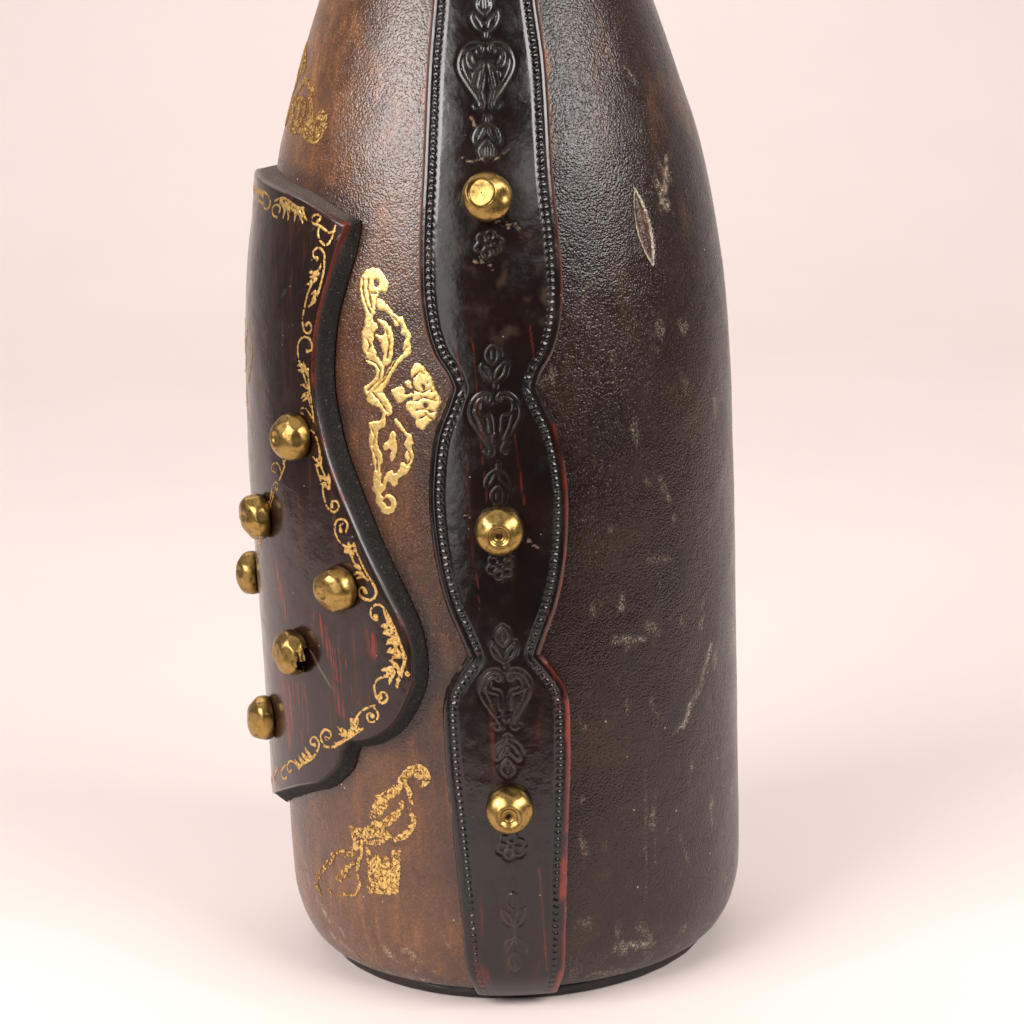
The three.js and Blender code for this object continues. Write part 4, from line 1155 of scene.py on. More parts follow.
STAMP = [
    [(-5.2, 20.7), (-4.7, 21.6), (-3.7, 22.3), (-2.5, 22.5), (-1.2, 22.2), (-0.3, 21.4), (0.4, 20.4), (0.8, 19.3), (0.6, 18.4), (-0.1, 18), (-0.7, 18.4), (-1.4, 18.1), (-1.3, 17.2), (-1.9, 16.5), (-2, 15.2), (-2.3, 14), (-2.6, 13.1), (-1.6, 12.4), (-1.5, 11.6), (-2.4, 11.1), (-2.4, 10.1), (-2.6, 9), (-2.4, 8.3), (-2, 7.5), (-2.1, 6.8), (-1.3, 6.2), (-0.7, 5.5), (-0.3, 4.5), (-0.3, 3.4), (-0.8, 2.4), (-1.4, 1.6), (-2, 0.8), (-2.8, 0.1), (-3.1, -0.6), (-3.8, -1.6), (-4.2, -1.4), (-4.1, -0.6), (-4.7, 0.1), (-4.8, 0.9), (-3.9, 1.5), (-2.9, 1.9), (-2.1, 2.8), (-1.8, 3.8), (-2.1, 4.5), (-2.8, 5), (-3.9, 5.4), (-4.3, 6.1), (-4.2, 6.8), (-4.9, 7.7), (-5, 8.4), (-4.6, 9.5), (-5.1, 10.2), (-4.8, 11.3), (-4.3, 12.1), (-4.4, 13.1), (-4.1, 13.9), (-4.4, 15.1), (-5.1, 16.4), (-5.3, 17.9), (-5.4, 19.5)],
    [(-1.4, 17.2), (-0.1, 16.4), (0.8, 15.8), (1.4, 15), (2.1, 14.1), (3, 13.6), (3.8, 13.8), (4, 12.9), (4.4, 12), (5.1, 11.1), (5.2, 10.1), (5.1, 8.9), (5.3, 8), (5.1, 7.3), (4.3, 6.6), (3.1, 5.8), (2.2, 4.7), (1.3, 3.7), (0.6, 2.3), (-0.2, 1.1), (-0.6, 0.4), (-1.4, -0.1), (-2.3, 0.1), (-2.8, 0.4), (-1.9, 1.3), (-0.9, 2.2), (-0.1, 3.3), (0.6, 4.4), (1.5, 5.5), (2.7, 6.5), (3.7, 7.2), (3.6, 7.9), (4, 8.7), (3.8, 9.2), (4.3, 10.1), (4.2, 10.7), (3.4, 10.6), (3.4, 11.2), (3.7, 12.1), (3, 12.5), (2.4, 12), (1.7, 12.7), (1.8, 13.4), (1.1, 13.9), (0.6, 14.6), (-0.1, 15), (-1.1, 14.8), (-1.8, 15.5), (-1.9, 16.5)],
    [(-4.7, 0.3), (-3.7, 0.7), (-2.6, 0.5), (-1.4, 0.1), (-0.6, 0), (-0.1, -0.8), (0.6, -1.6), (1, -2.8), (1.3, -3.8), (0.4, -4), (-0.2, -3.9), (-0.2, -5), (-0.6, -6.1), (-1.5, -6.5), (-2, -6.8), (-1.9, -7.7), (-2.2, -8.7), (-2, -9.7), (-1.6, -10.7), (-1.2, -11.9), (-1.3, -12.7), (-1.9, -13.2), (-1.7, -14.4), (-1.6, -15.5), (-1.8, -16.5), (-1.5, -16.8), (-1.1, -15.7), (-0.7, -14.9), (-0.1, -14.3), (0.7, -14.1), (0.8, -14.8), (1.8, -14.4), (2.1, -13.3), (2.9, -12.4), (3.6, -13), (3.9, -12.6), (3.4, -11.5), (3.5, -10.8), (4, -10.3), (3.4, -9.6), (3.3, -9.1), (3.8, -8.4), (3.8, -7.7), (3, -6.8), (2.3, -6), (1.5, -5.2), (1.3, -4.8), (1.8, -4.5), (2.5, -5), (3.2, -6.1), (4, -7.2), (4.9, -7.4), (5, -8.5), (5.4, -8.9), (4.7, -9.4), (4.6, -10.3), (5.2, -11.4), (4.8, -12.3), (4.4, -12.8), (4, -14.2), (3.2, -14.7), (2.3, -15.1), (1.5, -15.8), (1.5, -16.8), (0.7, -17.2), (0.2, -16.4), (-0.5, -16.1), (-0.8, -17.3), (-1.5, -18.4), (-2, -18.7), (-1.4, -19.2), (-0.5, -18.6), (0.6, -18.8), (1.3, -19.7), (1.3, -20.9), (0.4, -21.9), (-0.8, -22.4), (-1.9, -22.1), (-2.2, -21.2), (-2.8, -20.7), (-3.2, -19.8), (-2.9, -18.7), (-3.8, -18), (-3.4, -16.6), (-3.2, -15), (-2.9, -13.7), (-3.3, -12.9), (-3.4, -12), (-3.5, -10.8), (-3.8, -10), (-3.9, -8.7), (-3.7, -7.7), (-3.4, -7), (-3.7, -6.3), (-4, -5.6), (-2.8, -5.3), (-1.6, -5.1), (-1, -4.6), (-0.8, -4), (-1.2, -3), (-2, -2.4), (-3.2, -2.1), (-4, -1.5), (-4.1, -0.6)],
    [(-1.6, 13.3), (-1, 13.4), (0.1, 12.9), (0.9, 12.2), (1.5, 11.2), (1.8, 9.9), (1.7, 8.1), (1.4, 6.6), (0.9, 5.5), (0.2, 5), (-0.5, 5.2), (-0.6, 5.7), (-0.2, 6.8), (-0.5, 7.8), (-0.9, 8.3), (-0.6, 9.1), (-1.3, 9.7), (-2.1, 10.3), (-1.8, 10.6), (-0.7, 10.4), (-0.1, 10.5), (0, 11.4), (-0.6, 12.2), (-1.3, 12.8)],
    [(1.1, -6.7), (1.7, -7.3), (1.8, -8.5), (1.9, -9.8), (1.4, -11.4), (0.9, -12.4), (0.4, -12.3), (0.5, -11.3), (1, -10.3), (0.3, -10), (-0.6, -10.5), (-1.1, -9.9), (-0.7, -9.1), (0, -8.8), (0.5, -7.7)],
    [(1, 0.6), (2, 0.8), (2.7, 1.4), (3.6, 1.2), (3.9, 0.6), (3.5, -0.1), (4.2, -0.2), (5.3, 0.1), (5.3, -0.4), (4.2, -0.7), (3.3, -1.3), (2.5, -1.9), (2.2, -1.3), (1.6, -0.4)],
    [(3.8, 2), (4.6, 2.4), (5.2, 1.7), (5.3, 1), (4.7, 1), (4, 1.5)],
    [(5.5, 5.2), (6.3, 5.6), (7.3, 5.2), (7.8, 4.2), (8.7, 3.6), (9.2, 2.3), (9.4, 1), (10.2, -0), (10.7, -0.9), (10.4, -2.1), (9.7, -2.8), (9.6, -4.1), (8.8, -4.9), (8, -5.2), (7.3, -6.4), (6.5, -6.4), (5.8, -5.7), (5.6, -4.4), (4.6, -3.4), (4, -2.8), (3.9, -1.9), (4.6, -1.2), (5.4, -1.3), (5.4, -0.1), (5.8, 1), (5.4, 1.7), (5.5, 2.8), (5, 3), (5.2, 4.1)],
]
STAMP_EYES = [
    [(-2.4, 20.3), (-1.8, 20.5), (-1.1, 20), (-1.2, 19.2), (-1.8, 18.9), (-2.4, 19.4)],
    [(-1.4, -19.5), (-0.6, -19.1), (0.2, -19.9), (0.1, -20.8), (-0.7, -21), (-1.1, -20.3), (-1.6, -20.1)],
]
PITS = [
    (7.8, -2.0, 0.50), (7.3, 1.4, 0.34), (7.5, 1.0, 0.26), (8.5, -3.2, 0.21), (6.2, -1.2, 0.16), (9.4, -0.7, 0.16), (7.7, -3.6, 0.18), (6.2, 3.6, 0.13), (8.2, 2.0, 0.16), (6.9, -0.5, 0.13), (8.9, 0.5, 0.16),
]
VEINS = [
    [(-4.8, 20.5), (-4.7, 17.9), (-4, 15.9), (-3, 14.4)],
    [(-3.5, 20.3), (-3.7, 18.7), (-3.2, 17.5), (-2.8, 15.4)],
    [(-2.8, 17.9), (-1.8, 17.9)],
    [(4.4, 8.4), (2.4, 6.3), (0.9, 4.2), (-0.6, 2.1), (-2.5, 0.4)],
    [(-2.8, -0), (-1.3, -1.5), (0.1, -3.4)],
    [(-4.1, 6.1), (-2, 5.4), (-1.1, 4.2), (-1.5, 2.3), (-3.9, 0.4)],
    [(5.3, 2.8), (6.8, 4), (7.6, 3.6)],
    [(5.6, 0.9), (7, 0.2), (8.6, 0.9)],
    [(5.8, -1.3), (7.5, -0.6), (9.7, -1.2)],
    [(6, -2.9), (7.4, -2.7), (9.1, -3.2)],
    [(6.7, -4.3), (7.9, -3.9), (9, -4.5)],
    [(3, 12.5), (2.5, 13.1), (1.7, 13.7)],
    [(-3.8, 9.5), (-3.2, 8.5), (-3.7, 7.4)],
    [(0.3, 11.2), (0.9, 9.1), (0.4, 6.3)],
    [(-3.2, -10.5), (-2.4, -12.3), (-2.6, -14.2)],
    [(-3.3, -6.6), (-2.6, -8.1), (-3.2, -9.7)],
    [(4.1, -10.5), (4.5, -11.8), (3.7, -13.1)],
]
FOOT = [
    [(15.83, 12.01, 0.46), (16.76, 13.06, 0.53), (16.71, 14.55, 0.57), (15.42, 15.45, 0.64), (13.83, 14.92, 0.71), (12.46, 13.66, 0.78), (11.51, 12.24, 0.78)],
    [(14.77, 14.08, 0.64), (15.92, 13.81, 0.64)],
    [(11.95, 13.04, 0.78), (10.72, 11.2, 0.85), (9.14, 9.68, 0.85), (7.1, 8.44, 0.92), (5.91, 6.93, 0.99), (5.05, 5.26, 0.92), (4.17, 4.35, 0.57)],
    [(7.49, 7.55, 0.85), (6.15, 5.64, 0.85)],
    [(6.89, 8.6, 0.49), (5.79, 8.57, 0.32)],
    [(12.37, 11.78, 0.49), (13.1, 10.36, 0.49), (13.23, 8.31, 0.39), (12.93, 7.07, 0.28)],
    [(13.12, 6.11, 0.39), (13.74, 4.98, 0.53), (12.98, 3.19, 0.57), (11.57, 1.69, 0.57), (9.45, 0.64, 0.42)],
    [(11.47, 8.29, 0.35), (10.45, 6.08, 0.64), (8.38, 4.28, 0.78), (6.56, 2.85, 0.78), (5.39, 1.89, 0.64)],
    [(-1.46, 0.85, 0.32), (0.06, 0.49, 0.78), (2.53, 0.6, 0.99), (5.37, 1.51, 1.06), (7.56, 1.11, 0.85), (8.49, 0.8, 0.42)],
    [(3.06, 1.47, 0.57), (5.46, 3.05, 0.71)],
    [(1.94, -1.05, 0.32), (4.31, -0.9, 0.49), (6.61, -0.19, 0.49)],
    [(-1.06, 0.63, 0.49), (-0.25, -1.12, 0.71), (-0.36, -2.69, 0.78), (-1.61, -4.13, 0.71), (-3.25, -5.09, 0.32)],
    [(1.44, -1.15, 0.42), (1.19, -3.51, 0.39), (0.25, -5.64, 0.32)],
    [(-3.57, -4.2, 0.28), (-4.92, -4.72, 0.32), (-6.8, -5.71, 0.57), (-8.02, -7.29, 0.6), (-10.1, -9.25, 0.6), (-12.96, -11.48, 0.6), (-14.35, -13.71, 0.57), (-13.32, -15.4, 0.49), (-12.47, -15.94, 0.28)],
    [(-6.65, -10.46, 0.25), (-4.4, -8.69, 0.32), (-2.31, -7, 0.32), (-0.9, -5.9, 0.32)],
    [(-5.77, -10.82, 0.28), (-3.07, -9.61, 0.32), (-4.93, -9.41, 0.28)],
    [(-3.42, -7.27, 0.21), (-3.13, -8.37, 0.25)],
    [(0.25, -5.64, 0.32), (-0.1, -7.66, 0.35), (0.35, -9.7, 0.35), (-0.22, -11.59, 0.32)],
    [(-9.63, -13.88, 0.25), (-7.07, -14.33, 0.28), (-3.69, -13.15, 0.21), (-1.48, -12.87, 0.25), (0.06, -10.74, 0.25)],
    [(-14.23, -11.87, 0.21), (-12.6, -12.77, 0.21)],
    [(2.9, -2.6, 0.5), (3.48, -4.6, 1.05), (3.5, -8.08, 1.1), (3.3, -10.4, 1.0)],
    [(5.05, -4.1, 0.9), (5.32, -6.93, 1.2), (5.08, -10.3, 1.1)],
    [(7.29, -4.0, 0.9), (7.34, -6.57, 1.2), (7.14, -9.9, 1.1)],
    [(9.5, -2.3, 0.8), (9.3, -4.5, 1.0), (9.0, -7.4, 1.0), (8.7, -9.6, 0.9)],
    [(10.3, -1.52, 0.35), (10.01, -2.32, 0.42)],
    [(2.9, -2.59, 0.28), (3.69, -3.39, 0.35)],
]


def chaikin(q):
    q = np.asarray(q, float)
    n = np.roll(q, -1, 0)
    return np.stack([0.75 * q + 0.25 * n, 0.25 * q + 0.75 * n], 1).reshape(-1, 2)


def turned(shapes, deg, flip=False):
    c, n = math.cos(math.radians(deg)), math.sin(math.radians(deg))
    out = []
    for q in shapes:
        x, y = (-q[:, 0] if flip else q[:, 0]), q[:, 1]
        out.append(np.stack([c * x - n * y, n * x + c * y], -1))
    return out


def outlines(xs, ys, shapes):
    """Distance into any of these closed outlines on a grid, negative outside."""
    X, Y = np.meshgrid(xs, ys)
    best = np.full(X.shape, -9.0)
    for q in shapes:
        i = slice(*np.searchsorted(ys, [q[:, 1].min() - 1.5, q[:, 1].max() + 1.5]))
        j = slice(*np.searchsorted(xs, [q[:, 0].min() - 1.5, q[:, 0].max() + 1.5]))
        best[i, j] = np.maximum(best[i, j], signed(X[i, j], Y[i, j], q))
    return best


def rubbed(f, X, Y, worn, seed):
    """The grain of the leather shows through the leaf in fine curls, wider where more has rubbed off."""
    g = flat(X, Y)
    rub = worn * (0.75 + 0.9 * smooth(-4, -13, X + 0.3 * Y) + 0.5 * fbm(g, 3.0, seed + 5))
    for size, part in ((0.62, 0.22), (1.15, 0.12)):
        f = np.minimum(f, 0.55 * (np.abs(noise(g, size, seed + int(size * 10))) - part * np.clip(rub, 0.1, 2.2)))
    return np.minimum(f, 0.55 + 0.7 * fbm(flat(X, Y * 0.5), 2.2, seed + 6) - 0.22 * np.clip(rub, 0, 2))


def put_stamp(name, phi, z0, shapes, eyes, dots, veins, strokes, worn, seed, mirror=False, cell=0.12):
    pts = np.vstack([q[:, :2] for q in (shapes or strokes)])
    xs = np.arange(pts[:, 0].min() - 1.6, pts[:, 0].max() + 1.6, cell)
    ys = np.arange(pts[:, 1].min() - 1.6, pts[:, 1].max() + 1.6, cell)
    X, Y = np.meshgrid(xs, ys)
    g = flat(X, Y)
    if shapes:
        f = outlines(xs, ys, shapes) + 0.18 * noise(g, 0.8, seed) + 0.13 * noise(g, 0.36, seed + 1) + 0.05
        bare = [np.column_stack([v, np.full(len(v), 0.10)]) for v in veins]
        f = np.minimum(f, capsules(xs, ys, bare) + 0.20 * noise(g, 0.9, seed + 3) + 0.03)
        f = np.minimum(f, 0.02 - outlines(xs, ys, eyes))
        for x, y, w in dots:
            f = np.minimum(f, np.hypot(X - x, Y - y) - w + 0.10 * noise(g, 0.5, seed + 7))
    else:
        f = -capsules(xs, ys, strokes) + 0.26 * noise(g, 0.75, seed) + 0.16 * noise(g, 0.36, seed + 1) + 0.05
    if worn > 0:
        f = rubbed(f, X, Y, worn, seed)

    def place(x, y, h):
        z = z0 + y
        ang = math.radians(phi) + x / (46.0 if z0 < 150 else BODY(z))
        if mirror:
            ang = -math.pi - ang
        return on_body(ang, z, h - 0.02 + swell(np.degrees(ang), z))

    def shade(q):
        d = np.full(len(q), 9.0)
        for v in veins:
            for a, b in zip(v[:-1], v[1:]):
                e = b - a
                t = np.clip(((q - a) @ e) / max(e @ e, 1e-9), 0, 1)
                d = np.minimum(d, np.hypot(*(q - a - t[:, None] * e).T))
        return 0.8 * smooth(0.26, 0.06, d + 0.06 * noise(flat(q[:, 0], q[:, 1]), 0.5, seed + 9))

    leaf(name, f, xs, ys, place, 0.05, shade)


STAMP_MM = [chaikin(q) for q in STAMP]
EYES_MM = [chaikin(q) for q in STAMP_EYES]
VEINS_MM = [np.array(q, float) for q in VEINS]
FOOT_MM = [curve(q, 0.3) if len(q) > 2 else np.array(q, float) for q in FOOT]
A_PHI = -20.3 / 46 / DEG
put_stamp("gilt_stamp_side_right", A_PHI, 119.0, STAMP_MM, EYES_MM, PITS, VEINS_MM, None, 0.0, 101)
put_stamp("gilt_stamp_side_left", A_PHI, 119.0, STAMP_MM, EYES_MM, PITS, VEINS_MM, None, 0.25, 131, mirror=True)
# the same stamp pressed on a slant near the foot, its flower smeared into a block
put_stamp("gilt_stamp_foot_right", -32.2 / 46 / DEG, 33.2, None, None, (), (), FOOT_MM, 0.62, 151)
put_stamp("gilt_stamp_foot_left", -32.2 / 46 / DEG, 33.2, None, None, (), (), FOOT_MM, 0.62, 171, mirror=True)
put_stamp("gilt_stamp_shoulder", -80.0, 171.0, turned(STAMP_MM, -97, True), turned(EYES_MM, -97, True), (), turned(VEINS_MM, -97, True), None, 0.7, 191)

# ------------------------------------------------------------------ gilt border of the shield

UNIT = [
    [(2.26, 0.48, 0.36), (2.6, 0.9, 0.22), (2.03, 1.4, 0.22), (0.92, 1.44, 0.21), (0.07, 0.68, 0.20), (0.42, -0.33, 0.20), (1.88, -0.89, 0.20), (3.77, -1.1, 0.19), (5.45, -0.84, 0.26)],
    [(6.0, -0.82, 0.44), (5.2, -0.2, 0.40), (4.4, 0.33, 0.14)],
    [(6.1, -0.7, 0.40), (5.6, 0.2, 0.40), (5.0, 1.05, 0.16)],
    [(6.2, -0.6, 0.36), (6.4, 0.2, 0.34), (6.3, 0.75, 0.16)],
    [(6.1, -0.8, 0.30), (5.94, -1.34, 0.18)],
    [(6.9, -0.6, 0.30), (7.2, -1.2, 0.16)],
    [(5.2, 1.0, 0.18), (7.46, 0.82, 0.20), (9.73, 0.81, 0.22), (12.05, 0.93, 0.22), (13.6, 1.23, 0.22), (14.97, 1.11, 0.22), (15.87, 0.24, 0.22), (15.8, -1.0, 0.22), (14.6, -1.63, 0.22), (13.4, -1.44, 0.22), (13.2, -0.59, 0.22), (13.9, -0.45, 0.24), (13.84, -0.94, 0.36)],
    [(6.0, -0.8, 0.30), (7.8, -0.32, 0.20), (9.6, 0.1, 0.20)],
    [(10.5, -0.37, 0.40), (9.9, -0.1, 0.36), (9.27, -0.54, 0.15)],
    [(10.5, -0.4, 0.38), (10.5, -1.29, 0.18)],
    [(10.7, -0.3, 0.36), (11.2, -0.9, 0.17)],
    [(10.6, -0.4, 0.30), (11.6, 0.2, 0.20), (12.8, 0.73, 0.18)],
]


def inset_path(a0, a1, inset):
    """The line at this distance inside the shield's edge, between two directions from its centre, in degrees clockwise from the top."""
    c = np.array([0.0, 96.0])
    a = np.radians(np.linspace(a0, a1, 400))[:, None]
    q = np.linspace(5, 75, 141)[None, :]
    d = signed(c[0] + np.sin(a) * q, c[1] + np.cos(a) * q)
    d = d - 1.2 * smooth(116, 142, c[1] + np.cos(a) * q) * (inset > 3.1)
    k = d.shape[1] - 1 - np.argmax((d > inset)[:, ::-1], 1)
    row = np.arange(len(k))
    t = (d[row, k] - inset) / np.maximum(d[row, k] - d[row, np.minimum(k + 1, 140)], 1e-6)
    reach = q[0, k] + 0.5 * t
    out = np.stack([c[0] + np.sin(a[:, 0]) * reach, c[1] + np.cos(a[:, 0]) * reach], -1)
    for _ in range(6):
        out[1:-1] = (out[:-2] + out[1:-1] * 2 + out[2:]) / 4
    return out


def lay_units(path, start, pitch, count, size=1.0, first=False):
    """Units of the scroll border bent along a path; every other one runs the other way."""
    seg = np.hypot(*np.diff(path, axis=0).T)
    run = np.concatenate([[0], np.cumsum(seg)])
    out = []
    for n in range(count):
        for line in UNIT:
            q = curve(line, 0.25)
            t = q[:, 0] if (n % 2 == 0) != first else 16 - q[:, 0]
            u = start + n * pitch + t * size
            if u.max() > run[-1] - 0.3:
                continue
            x, z = np.interp(u, run, path[:, 0]), np.interp(u, run, path[:, 1])
            dx = np.interp(u + 0.4, run, path[:, 0]) - np.interp(u - 0.4, run, path[:, 0])
            dz = np.interp(u + 0.4, run, path[:, 1]) - np.interp(u - 0.4, run, path[:, 1])
            L = np.maximum(np.hypot(dx, dz), 1e-6)
            out.append(np.stack([x + q[:, 1] * size * (-dz / L), z + q[:, 1] * size * (dx / L), q[:, 2] * 0.92 * size], -1))
    return out


def angle_of(deg, z):
    return math.degrees(math.atan2(deg * DEG * RS, z - 96.0))


